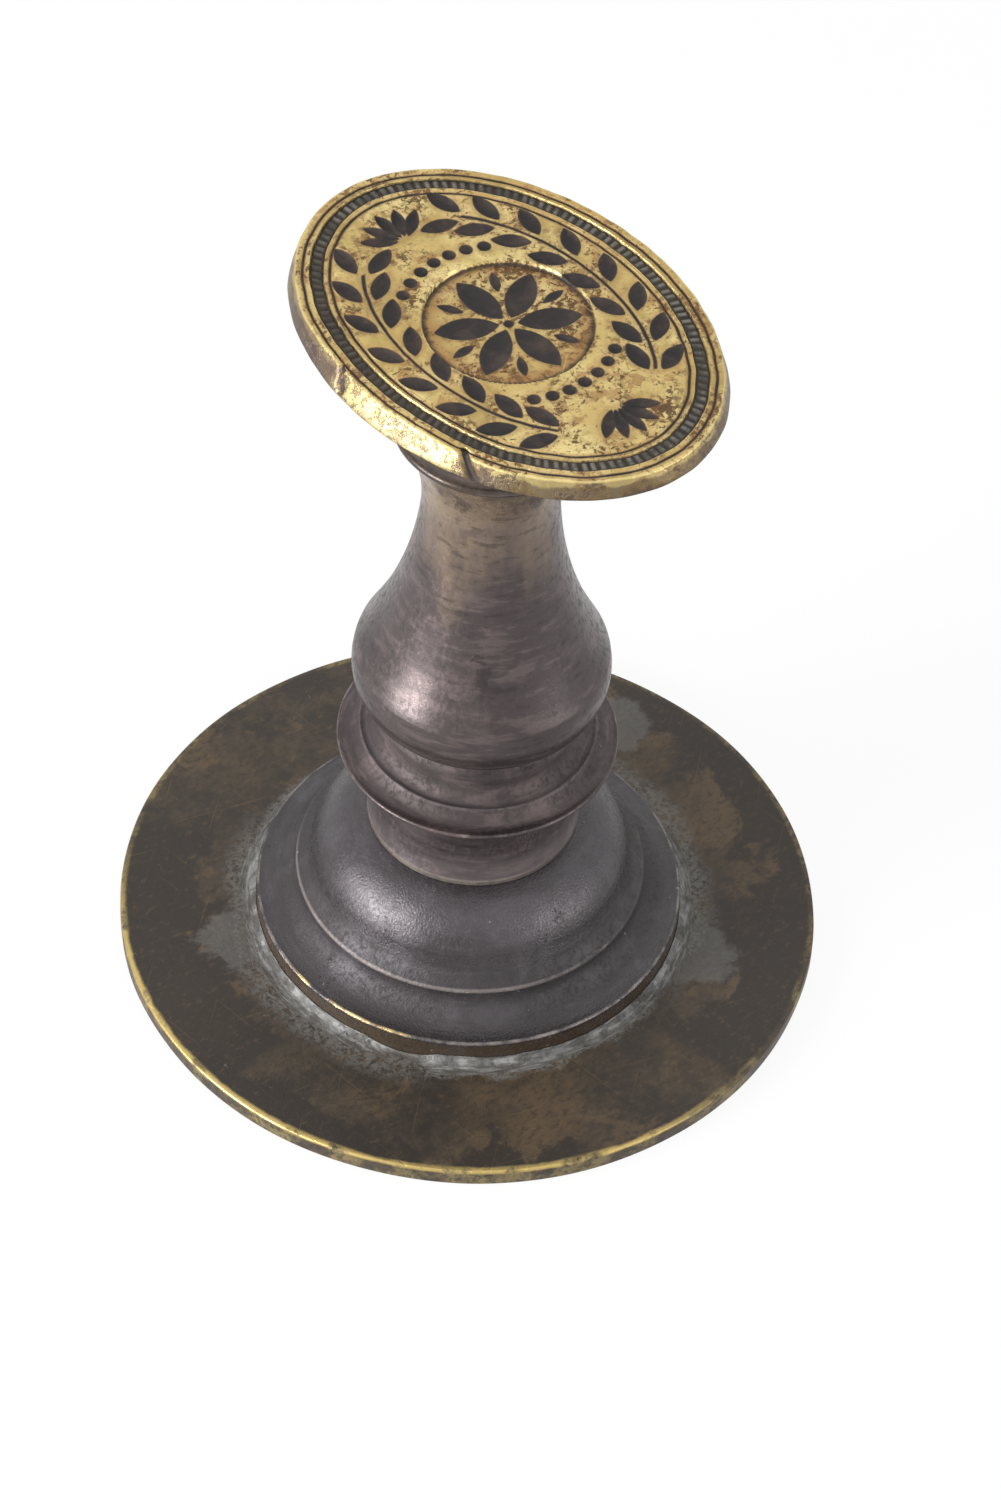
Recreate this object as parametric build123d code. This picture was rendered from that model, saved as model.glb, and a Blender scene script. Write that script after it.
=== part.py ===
from build123d import *
import math
import os

# A double-ended wax seal stamp: a round die plate that it stands on, a turned
# baluster handle, and a smaller engraved oval die on top.
# Millimetres. The origin is the middle of the round die's face, +Z goes up the
# handle, and the oval die's long axis lies along Y with the device's top at +Y.

# Round base die
base_radius = 31.0
base_thickness = 1.7
base_edge_round = 0.35
base_groove_insets = (1.4, 4.2)
base_groove_width = 0.5
base_groove_depth = 0.3

# Foot, a stepped dome on the base die
foot_radius = 18.8
foot_rim_height = 2.5
foot_rim_round = 0.3
foot_height = 12.5
cove_top_height = 4.8
cove_hollow = 0.75
step_radius = 15.4
step_height = 5.45
dome_shoulder_radius = 12.9
dome_shoulder_height = 9.5
flank_hollow = 0.45
crown_bulge = 0.3
seat_radius = 8.85

# Solder fillet that holds the foot to the base die
foot_solder_width = 1.3
foot_solder_height = 1.1
foot_solder_hollow = 0.2
solder_film = 0.05

# Handle, turned in one piece from the drum to the flared cup above the waist
drum_radius = 9.15
drum_lip = 0.3
drum_height = 8.9
drum_hollow = 1.5
flare_radius = 11.3
ring_radius = 12.15
ring_edge_height = 0.8
bead_radius = 10.25
bead_width = 0.75
bead_swell = 0.3
bead_rise = 1.2
dish_hollow = 0.45
collar_radius = 8.9
collar_rise = 2.5
belly_foot_radius = 8.1
belly_foot_rise = 1.05
belly_radius = 11.1
belly_rise = 4.3
shoulder_radius = 9.84
shoulder_rise = 3.6
neck_height = 18.7
waist_radius = 5.7
cup_height = 7.6
cup_radius = 8.7
cup_hollow = 0.35

# Tenon that the handle is riveted into the foot with
tenon_radius = 4.0
tenon_clearance = 0.08
rivet_radius = 6.0
rivet_height = 2.2
rivet_recess = 0.3

# Solder seam on the cup, and the flared shank of the oval die
seam_thickness = 0.4
seam_proud = 0.15
shank_height = 7.8
shank_top_radius = 13.0
shank_hollow = 0.15
tang_radius = 3.2
tang_length = 12.0
tang_clearance = 0.08
tang_end_gap = 0.5

# Solder layer under the oval die
die_solder_thickness = 0.4
die_solder_spread = 0.8

# Oval die
die_half_length = 20.55
die_half_width = 15.25
die_thickness = 2.2
die_flare = 0.45
die_edge_round = 0.25
die_shift = -0.8

# Border of the oval die, from the edge inwards
border_land = 1.05
border_line_width = 0.25
border_line_depth = 0.2
border_ledge = 0.45
bead_band_width = 1.15
bead_band_depth = 0.22
bead_cut_depth = 0.25
bead_count = 96
bead_cut_share = 0.6
inner_line_gap = 0.4
inner_line_width = 0.2

# Device in the oval die: a rosette in a round field, inside a wreath
device_depth = 0.4
field_radius = 7.0
field_depth = 0.3
petal_count = 6
petal_length = 6.2
petal_width = 2.5
petal_inner_gap = 0.7
petal_depth = 0.4
sepal_start = 3.7
sepal_length = 2.4
sepal_width = 0.9
eye_radius = 0.45
wreath_gap = 2.65
leaf_rows = 8
leaf_length = 3.5
leaf_width = 1.6
leaf_splay = 30.0
leaf_offset = 1.05
wreath_open_angle = 36.0
berry_radius = 0.6
berry_count = 7
berry_orbit_gap = 1.9
berry_spread = 60.0
palmette_leaves = 5
palmette_length = 3.4
palmette_width = 1.2
palmette_fan = 26.0
palmette_root_gap = 0.6
palmette_edge_gap = 0.9

# Levels up the handle
base_top = base_thickness
foot_top = base_top + foot_height
ring_bottom = foot_top + drum_height
ring_top = ring_bottom + ring_edge_height
bead_level = ring_top + bead_rise
collar_level = bead_level + collar_rise
belly_foot = collar_level + belly_foot_rise
belly_level = belly_foot + belly_rise
shoulder_level = belly_level + shoulder_rise
waist_level = shoulder_level + neck_height
cup_level = waist_level + cup_height
shank_bottom = cup_level + seam_thickness
shank_top = shank_bottom + shank_height
die_bottom = shank_top + die_solder_thickness
die_top = die_bottom + die_thickness

# Insets of the border's rings from the oval die's edge
band_inset = border_land + border_line_width + border_ledge
inner_line_inset = band_inset + bead_band_width + inner_line_gap
device_inset = inner_line_inset + inner_line_width


def turned(build_outline):
    """Spin a closed half outline, drawn as radius and height, about the Z axis."""
    with BuildPart() as piece:
        with BuildSketch(Plane.XZ):
            with BuildLine():
                build_outline()
            make_face()
        revolve(axis=Axis.Z)
    return piece.part


def ring_groove(outer, inner, depth):
    """A round cutter for a groove in the underside of the base die."""
    return Cylinder(outer, depth, align=(Align.CENTER, Align.CENTER, Align.MIN)) - Cylinder(
        inner, depth, align=(Align.CENTER, Align.CENTER, Align.MIN)
    )


def make_base_die():
    plate = Cylinder(base_radius, base_thickness, align=(Align.CENTER, Align.CENTER, Align.MIN))
    plate = fillet(plate.edges().filter_by(GeomType.CIRCLE), base_edge_round)
    for inset in base_groove_insets:
        outer = base_radius - inset
        plate -= ring_groove(outer, outer - base_groove_width, base_groove_depth)
    return plate


def make_foot():
    rim_level = base_top + foot_rim_height
    cove_level = base_top + cove_top_height
    step_level = base_top + step_height
    dome_shoulder = (dome_shoulder_radius, base_top + dome_shoulder_height)
    bore = tenon_radius + tenon_clearance
    sink = rivet_radius + tenon_clearance
    sink_top = base_top + rivet_recess + rivet_height

    def outline():
        Line((bore, foot_top), (bore, sink_top))
        Line((bore, sink_top), (sink, base_top + rivet_recess))
        Line((sink, base_top + rivet_recess), (sink, base_top))
        Line((sink, base_top), (foot_radius, base_top))
        Line((foot_radius, base_top), (foot_radius, rim_level - foot_rim_round))
        Line((foot_radius, rim_level - foot_rim_round), (foot_radius - foot_rim_round, rim_level))
        SagittaArc((foot_radius - foot_rim_round, rim_level), (step_radius, cove_level), cove_hollow)
        Line((step_radius, cove_level), (step_radius, step_level))
        SagittaArc((step_radius, step_level), dome_shoulder, flank_hollow)
        SagittaArc(dome_shoulder, (seat_radius, foot_top), -crown_bulge)
        Line((seat_radius, foot_top), (bore, foot_top))

    return turned(outline)


def make_foot_solder():
    inner = foot_radius + solder_film
    outer = inner + foot_solder_width
    top = base_top + foot_solder_height

    def outline():
        Line((inner, base_top), (outer, base_top))
        SagittaArc((outer, base_top), (inner, top), foot_solder_hollow)
        Line((inner, top), (inner, base_top))

    return turned(outline)


def make_stem():
    rivet_face = base_top + rivet_recess
    rivet_top = rivet_face + rivet_height
    bore = tang_radius + tang_clearance
    bore_end = cup_level - tang_length - tang_end_gap
    bead_inner = bead_radius - bead_width

    def outline():
        Line((0, rivet_face), (rivet_radius - tenon_clearance, rivet_face))
        Line((rivet_radius - tenon_clearance, rivet_face), (tenon_radius, rivet_top))
        Line((tenon_radius, rivet_top), (tenon_radius, foot_top))
        Line((tenon_radius, foot_top), (drum_radius, foot_top))
        Line((drum_radius, foot_top), (drum_radius, foot_top + drum_lip))
        SagittaArc((drum_radius, foot_top + drum_lip), (flare_radius, ring_bottom), drum_hollow)
        Line((flare_radius, ring_bottom), (ring_radius, ring_bottom + ring_edge_height / 2))
        Line((ring_radius, ring_bottom + ring_edge_height / 2), (ring_radius, ring_top))
        SagittaArc((ring_radius, ring_top), (bead_radius, bead_level), dish_hollow)
        SagittaArc((bead_radius, bead_level), (bead_inner, bead_level), -bead_swell)
        Line((bead_inner, bead_level), (collar_radius, collar_level))
        Line((collar_radius, collar_level), (belly_foot_radius, belly_foot))
        TangentArc((belly_radius, belly_level), (belly_foot_radius, belly_foot), tangent=(0, -1))
        TangentArc((belly_radius, belly_level), (shoulder_radius, shoulder_level), tangent=(0, 1))
        TangentArc((waist_radius, waist_level), (shoulder_radius, shoulder_level), tangent=(0, -1))
        SagittaArc((waist_radius, waist_level), (cup_radius, cup_level), cup_hollow)
        Line((cup_radius, cup_level), (bore, cup_level))
        Line((bore, cup_level), (bore, bore_end))
        Line((bore, bore_end), (0, bore_end))
        Line((0, bore_end), (0, rivet_face))

    return turned(outline)


def make_shank_solder():
    bore = tang_radius + tang_clearance
    edge = cup_radius + seam_proud
    middle = cup_level + seam_thickness / 2

    def outline():
        Line((bore, cup_level), (cup_radius, cup_level))
        ThreePointArc((cup_radius, cup_level), (edge, middle), (cup_radius, shank_bottom))
        Line((cup_radius, shank_bottom), (bore, shank_bottom))
        Line((bore, shank_bottom), (bore, cup_level))

    return turned(outline)


def make_die_shank():
    tang_end = cup_level - tang_length

    def outline():
        Line((0, tang_end), (tang_radius, tang_end))
        Line((tang_radius, tang_end), (tang_radius, shank_bottom))
        Line((tang_radius, shank_bottom), (cup_radius, shank_bottom))
        SagittaArc((cup_radius, shank_bottom), (shank_top_radius, shank_top), shank_hollow)
        Line((shank_top_radius, shank_top), (0, shank_top))
        Line((0, shank_top), (0, tang_end))

    return turned(outline)


def make_die_solder():
    spread_radius = shank_top_radius + die_solder_spread

    def outline():
        Line((0, shank_top), (shank_top_radius, shank_top))
        Line((shank_top_radius, shank_top), (spread_radius, die_bottom))
        Line((spread_radius, die_bottom), (0, die_bottom))
        Line((0, die_bottom), (0, shank_top))

    return turned(outline)


def oval(inset):
    """The oval die's outline, moved inwards by the inset."""
    return Ellipse(die_half_width - inset, die_half_length - inset)


def sunk(shape, depth):
    """A cutter that sinks a flat shape into the oval die's face."""
    return Pos(0, 0, die_top - depth) * extrude(shape, depth)


def oval_groove(inset, width, depth):
    """A cutter for a groove that follows the oval die's edge."""
    return sunk(oval(inset) - oval(inset + width), depth)


def leaf(length, width):
    """A pointed leaf along X, with its root at the origin."""
    with BuildSketch() as shape:
        with BuildLine():
            SagittaArc((0, 0), (length, 0), width / 2)
            SagittaArc((length, 0), (0, 0), width / 2)
        make_face()
    return shape.sketch


def border_cuts():
    cuts = [
        oval_groove(border_land, border_line_width, border_line_depth),
        oval_groove(band_inset, bead_band_width, bead_band_depth),
        oval_groove(inner_line_inset, inner_line_width, border_line_depth),
    ]
    middle = oval(band_inset + bead_band_width / 2).edge()
    pitch = middle.length / bead_count
    depth = bead_band_depth + bead_cut_depth
    tick = sunk(Rectangle(pitch * bead_cut_share, bead_band_width * bead_cut_share), depth)
    for index in range(bead_count):
        along = index / bead_count
        spot = middle @ along
        tangent = middle % along
        turn = math.degrees(math.atan2(tangent.Y, tangent.X))
        cuts.append(Pos(spot.X, spot.Y, 0) * Rot(0, 0, turn) * tick)
    return cuts


def rosette_cuts():
    cuts = [sunk(Circle(field_radius), field_depth)]
    depth = field_depth + petal_depth
    petal = sunk(Pos(petal_inner_gap, 0) * leaf(petal_length - petal_inner_gap, petal_width), depth)
    sepal = sunk(Pos(sepal_start, 0) * leaf(sepal_length, sepal_width), depth)
    for index in range(petal_count):
        cuts.append(Rot(0, 0, 90 + index * 360 / petal_count) * petal)
        cuts.append(Rot(0, 0, 90 + (index + 0.5) * 360 / petal_count) * sepal)
    eye = Pos(0, 0, die_top - field_depth) * Sphere(eye_radius)
    cuts.append(eye)
    return cuts


def wreath_cuts():
    stem_inset = device_inset + wreath_gap
    half_width = die_half_width - stem_inset
    half_length = die_half_length - stem_inset
    cuts = []
    blade = sunk(leaf(leaf_length, leaf_width), device_depth)
    first = wreath_open_angle - 90
    step = (180 - 2 * wreath_open_angle) / (leaf_rows - 1)
    for side in (1, -1):
        for row in range(leaf_rows):
            angle = math.radians(first + row * step)
            x = side * half_width * math.cos(angle)
            y = half_length * math.sin(angle)
            run = math.atan2(half_length * math.cos(angle), -side * half_width * math.sin(angle))
            for lean in (1, -1):
                turn = math.degrees(run) + lean * leaf_splay
                shift_x = -lean * math.sin(run) * leaf_offset / 2
                shift_y = lean * math.cos(run) * leaf_offset / 2
                cuts.append(Pos(x + shift_x, y + shift_y, 0) * Rot(0, 0, turn) * blade)
    return cuts


def berry_cuts():
    orbit = field_radius + berry_orbit_gap
    cuts = []
    for end in (90, -90):
        for index in range(berry_count):
            angle = end - berry_spread / 2 + index * berry_spread / (berry_count - 1)
            spot = Vector(orbit, 0).rotate(Axis.Z, angle)
            cuts.append(Pos(spot.X, spot.Y, die_top) * Sphere(berry_radius))
    return cuts


def palmette_cuts():
    root = die_half_length - device_inset - palmette_edge_gap - palmette_length - palmette_root_gap
    blade = sunk(Pos(palmette_root_gap, 0) * leaf(palmette_length, palmette_width), device_depth)
    cuts = []
    for end in (1, -1):
        for index in range(palmette_leaves):
            fan = (index - (palmette_leaves - 1) / 2) * palmette_fan
            cuts.append(Pos(0, end * root, 0) * Rot(0, 0, end * 90 + fan) * blade)
    return cuts


def make_oval_die():
    blank = loft([Pos(0, 0, die_bottom) * oval(0), Pos(0, 0, die_top) * oval(die_flare)])
    rims = blank.faces().sort_by(Axis.Z)
    blank = fillet(rims[0].edges() + rims[-1].edges(), die_edge_round)
    engraved = blank - (border_cuts() + rosette_cuts() + wreath_cuts() + berry_cuts() + palmette_cuts())
    return Pos(0, die_shift, 0) * engraved


pieces = {
    "base_die": make_base_die(),
    "foot_solder": make_foot_solder(),
    "foot": make_foot(),
    "stem": make_stem(),
    "shank_solder": make_shank_solder(),
    "die_shank": make_die_shank(),
    "die_solder": make_die_solder(),
    "oval_die": make_oval_die(),
}

os.makedirs("parts", exist_ok=True)
for name, piece in pieces.items():
    export_step(piece, os.path.join("parts", name + ".step"))
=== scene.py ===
import math
from collections import namedtuple

import bmesh
import bpy
import numpy as np
from mathutils import Matrix, Quaternion, Vector, noise


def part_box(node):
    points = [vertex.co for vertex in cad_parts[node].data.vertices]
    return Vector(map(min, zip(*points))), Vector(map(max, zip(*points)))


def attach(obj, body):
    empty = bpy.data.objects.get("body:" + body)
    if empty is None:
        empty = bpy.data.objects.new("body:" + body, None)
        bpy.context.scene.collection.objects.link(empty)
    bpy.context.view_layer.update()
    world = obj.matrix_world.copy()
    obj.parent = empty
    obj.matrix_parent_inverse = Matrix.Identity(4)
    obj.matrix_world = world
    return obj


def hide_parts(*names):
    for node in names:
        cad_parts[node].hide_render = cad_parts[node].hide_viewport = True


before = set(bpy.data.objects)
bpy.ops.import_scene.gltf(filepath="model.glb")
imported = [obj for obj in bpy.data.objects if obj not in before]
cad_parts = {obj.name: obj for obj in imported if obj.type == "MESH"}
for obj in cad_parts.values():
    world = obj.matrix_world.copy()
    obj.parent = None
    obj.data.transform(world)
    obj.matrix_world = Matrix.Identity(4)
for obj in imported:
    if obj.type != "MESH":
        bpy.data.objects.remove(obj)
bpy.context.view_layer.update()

bl_info = {
    "name": "Double-ended Seal Stamp",
    "version": (1, 0, 0),
    "blender": (4, 5, 0),
    "location": "View3D > Sidebar > Seal Stamp",
    "description": "Dresses a turned bronze seal stamp with a round and an oval die",
    "category": "Object",
}

MM = 0.001

# Levels and corners that the fixed frame gives, in metres
plate_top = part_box("base_die")[1].z
foot_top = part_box("foot")[1].z
cup_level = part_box("stem")[1].z
shank_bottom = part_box("shank_solder")[1].z
shank_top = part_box("die_shank")[1].z
die_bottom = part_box("die_solder")[1].z
die_low, die_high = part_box("oval_die")


# Properties

def tone(red, green, blue):
    """A colour as it looks on screen, 0 to 255, turned into linear light."""
    shares = (red / 255, green / 255, blue / 255)
    return tuple(s / 12.92 if s <= 0.04045 else ((s + 0.055) / 1.055) ** 2.4 for s in shares)


def length(name, description, millimetres):
    """A property that holds a length, with its default in millimetres."""
    return bpy.props.FloatProperty(
        name=name, description=description, default=millimetres * MM, unit="LENGTH", precision=5
    )


def share(name, description, default):
    """A property that holds a share from 0 to 1."""
    return bpy.props.FloatProperty(
        name=name, description=description, default=default, min=0.0, max=1.0, subtype="FACTOR"
    )


def turn(name, description, degrees):
    """A property that holds an angle, with its default in degrees."""
    return bpy.props.FloatProperty(
        name=name, description=description, default=math.radians(degrees), unit="ROTATION"
    )


def count(name, description, default):
    """A property that holds a number of copies."""
    return bpy.props.IntProperty(name=name, description=description, default=default, min=1)


def colour(name, description, red, green, blue):
    """A property that holds a colour, with its default as it looks on screen."""
    return bpy.props.FloatVectorProperty(
        name=name, description=description, default=tone(red, green, blue), subtype="COLOR", min=0.0, max=1.0
    )


class PlateSettings(bpy.types.PropertyGroup):
    """Sizes and colours of the round die plate"""

    radius: length("Radius", "Outer radius of the plate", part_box("base_die")[1].x / MM)
    edge_round: length("Edge rounding", "Rounding of the worn rim", 0.28)
    unevenness: length("Unevenness", "How far the hand-filed rim wanders inwards", 0.22)
    outer_groove: length("Outer groove", "Inset of the outer ring cut in the face below", 1.4)
    inner_groove: length("Inner groove", "Inset of the inner ring cut in the face below", 4.2)
    groove_width: length("Groove width", "Width of the rings cut in the face below", 0.5)
    groove_depth: length("Groove depth", "Depth of the rings cut in the face below", 0.3)
    dark: colour("Dark patina", "Darkest part of the patina", 45, 39, 33)
    brown: colour("Brown patina", "Middle tone of the patina", 70, 60, 48)
    tan: colour("Thin patina", "Patina where it is rubbed thin", 98, 80, 58)
    olive: colour("Olive brass", "Half tarnished brass at the rim", 122, 108, 72)
    # Also a painted highlight on the rim lit by the key lamp
    brass: colour("Bare brass", "Worn brass at the rim", 194, 170, 108)
    smear: colour("Solder stain", "Thin solder left on the plate", 112, 110, 106)


class FootSettings(bpy.types.PropertyGroup):
    """Sizes and colours of the stepped foot"""

    radius: length("Radius", "Outer radius of the foot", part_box("foot")[1].x / MM)
    rim_height: length("Rim height", "Height of the upright rim", 2.5)
    cove_height: length("Cove height", "Height of the cove's top under the step", 4.8)
    cove_hollow: length("Cove hollow", "How far the cove sinks", 0.75)
    step_radius: length("Step radius", "Radius of the upright step", 15.4)
    step_height: length("Step height", "Height of the step's top edge", 5.45)
    dome_radius: length("Dome radius", "Radius where the round dome ends", 14.0)
    dome_height: length("Dome height", "Height where the round dome ends", 7.5)
    flank_hollow: length("Flank hollow", "How far the flank below the dome sinks", 0.2)
    crown_bulge: length("Crown bulge", "How far the dome swells", 1.1)
    seat_radius: length("Seat radius", "Radius of the seat for the handle", 8.85)
    bore_radius: length("Bore radius", "Radius of the bore for the tenon", 4.08)
    sink_radius: length("Sink radius", "Radius of the sink for the rivet head", 6.08)
    sink_lip: length("Sink lip", "Upright lip of the sink", 0.3)
    sink_height: length("Sink height", "Height of the sink's cone", 2.2)
    dark: colour("Dark patina", "Darkest part of the patina", 55, 51, 52)
    grey: colour("Grey patina", "Middle tone of the patina", 80, 76, 79)
    # Also used for painted light on the crown
    pale: colour("Pale bloom", "Pale bloom on the high parts", 101, 97, 101)
    brown: colour("Brown rim", "Patina on the upright rim", 88, 75, 62)
    grime: colour("Grime", "Dirt in creases and pits", 34, 31, 31)
    bare: colour("Bare metal", "Metal that shows at rubbed edges", 138, 130, 126)
    # This stretch of the rim is also a painted highlight
    gold: colour("Golden rim", "Brass that shows on a stretch of the rim", 216, 186, 128)
    fleck: colour("Flecks", "Pale flecks of dry dirt", 176, 174, 172)


class StemSettings(bpy.types.PropertyGroup):
    """Sizes and colours of the turned handle"""

    drum_radius: length("Drum radius", "Radius of the drum at the foot", 9.3)
    drum_lip: length("Drum lip", "Height of the drum's upright lip", 0.5)
    drum_height: length("Drum height", "Height of the drum", 8.9)
    drum_hollow: length("Drum hollow", "How far the drum sinks in", 1.5)
    flare_radius: length("Flare radius", "Radius of the drum's flare under the ring", 11.3)
    ring_radius: length("Ring radius", "Radius of the thin ring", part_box("stem")[1].x / MM)
    ring_edge: length("Ring edge", "Height of the ring's edge", 0.8)
    bead_radius: length("Bead radius", "Outer radius of the bead above the ring", 10.25)
    bead_width: length("Bead width", "Width of the bead", 0.5)
    bead_swell: length("Bead swell", "How far the bead stands up", 0.12)
    bead_rise: length("Bead rise", "Rise from the ring to the bead", 1.2)
    dish_hollow: length("Dish hollow", "How far the ring's top sinks", 0.45)
    collar_radius: length("Collar radius", "Radius of the collar above the bead", 8.9)
    collar_rise: length("Collar rise", "Rise from the bead to the collar", 2.5)
    collar_hollow: length("Collar hollow", "How far the collar's wall sinks", 0.4)
    belly_foot_radius: length("Belly foot radius", "Radius where the belly starts", 8.1)
    belly_foot_rise: length("Belly foot rise", "Rise from the collar to the belly's start", 1.05)
    belly_radius: length("Belly radius", "Largest radius of the belly", 11.1)
    belly_rise: length("Belly rise", "Rise to the belly's widest part", 4.3)
    shoulder_radius: length("Shoulder radius", "Radius where the belly meets the neck", 9.84)
    shoulder_rise: length("Shoulder rise", "Rise from the belly to the shoulder", 3.6)
    neck_height: length("Neck height", "Height of the neck from shoulder to waist", 18.7)
    waist_radius: length("Waist radius", "Radius of the waist", 5.7)
    cup_radius: length("Cup radius", "Radius of the flared cup's rim", 8.3)
    cup_hollow: length("Cup hollow", "How far the cup's flare sinks", 0.35)
    lip_drop: length("Lip drop", "How far the roll starts below the cup's rim", 1.65)
    lip_radius: length("Lip radius", "Radius of the neck under the roll", 8.4)
    lip_height: length("Lip height", "Height of the roll", 0.75)
    lip_swell: length("Lip swell", "How far the roll stands out", 0.22)
    tenon_radius: length("Tenon radius", "Radius of the tenon in the foot", 4.0)
    rivet_radius: length("Rivet radius", "Radius of the rivet head under the foot", 5.92)
    rivet_height: length("Rivet height", "Height of the rivet head", 2.2)
    tang_bore: length("Tang bore", "Radius of the bore for the shank's tang", 3.28)
    tang_depth: length("Tang depth", "Depth of the bore for the shank's tang", 12.5)
    dark: colour("Dark patina", "Darkest part of the patina", 58, 51, 51)
    brown: colour("Brown patina", "Middle tone of the patina", 86, 76, 76)
    rosy: colour("Rosy patina", "Copper-red tint in thin places", 106, 93, 92)
    # Only used for painted light on the drum and a painted highlight on the bead's ridge
    bloom: colour("Pale bloom", "Pale bloom on the drum", 118, 109, 112)
    brassy: colour("Brassy patina", "Rubbed tone near the neck's top", 150, 130, 108)
    grime: colour("Grime", "Dirt in creases and pits", 38, 33, 32)
    bare: colour("Bare metal", "Metal that shows at rubbed edges", 148, 138, 130)


class ShankSettings(bpy.types.PropertyGroup):
    """Sizes of the flared shank under the oval die"""

    foot_radius: length("Foot radius", "Radius where the shank meets the cup", 8.3)
    top_radius: length("Top radius", "Radius under the oval die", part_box("die_shank")[1].x / MM)
    hollow: length("Hollow", "How far the flare sinks", 0.15)
    tang_radius: length("Tang radius", "Radius of the tang in the handle", 3.2)
    tang_length: length("Tang length", "Length of the tang below the cup", 12.0)


class SolderSettings(bpy.types.PropertyGroup):
    """Sizes and colours of the solder at the three joints"""

    foot_gap: length("Foot gap", "Film between the foot and the solder", 0.05)
    foot_width: length("Foot fillet width", "Width of the fillet round the foot", 1.2)
    foot_height: length("Foot fillet height", "Height of the fillet round the foot", 1.1)
    foot_spread: length("Foot spread", "How much wider the smeared parts are", 0.9)
    seam_radius: length("Seam radius", "Radius of the seam at the cup", 8.3)
    seam_bore: length("Seam bore", "Bore of the seam round the tang", 3.28)
    seam_proud: length("Seam swell", "How far the seam stands out", 0.15)
    layer_radius: length(
        "Layer radius", "Radius of the solder under the oval die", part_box("die_solder")[1].x / MM
    )
    pale: colour("Bright solder", "Solder where it is scraped bright", 148, 147, 145)
    grey: colour("Grey solder", "Middle tone of the solder", 112, 111, 109)
    dark: colour("Dirty solder", "Solder with grime on it", 66, 63, 60)
    grime: colour("Thin solder", "Solder's thin edge on the plate", 74, 68, 60)
    # A painted shadow: the solder at the top joints, under the oval die, is laid nearly black
    joint_shadow: colour("Deep solder", "Solder in the dark joints at the top", 38, 34, 32)


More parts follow.
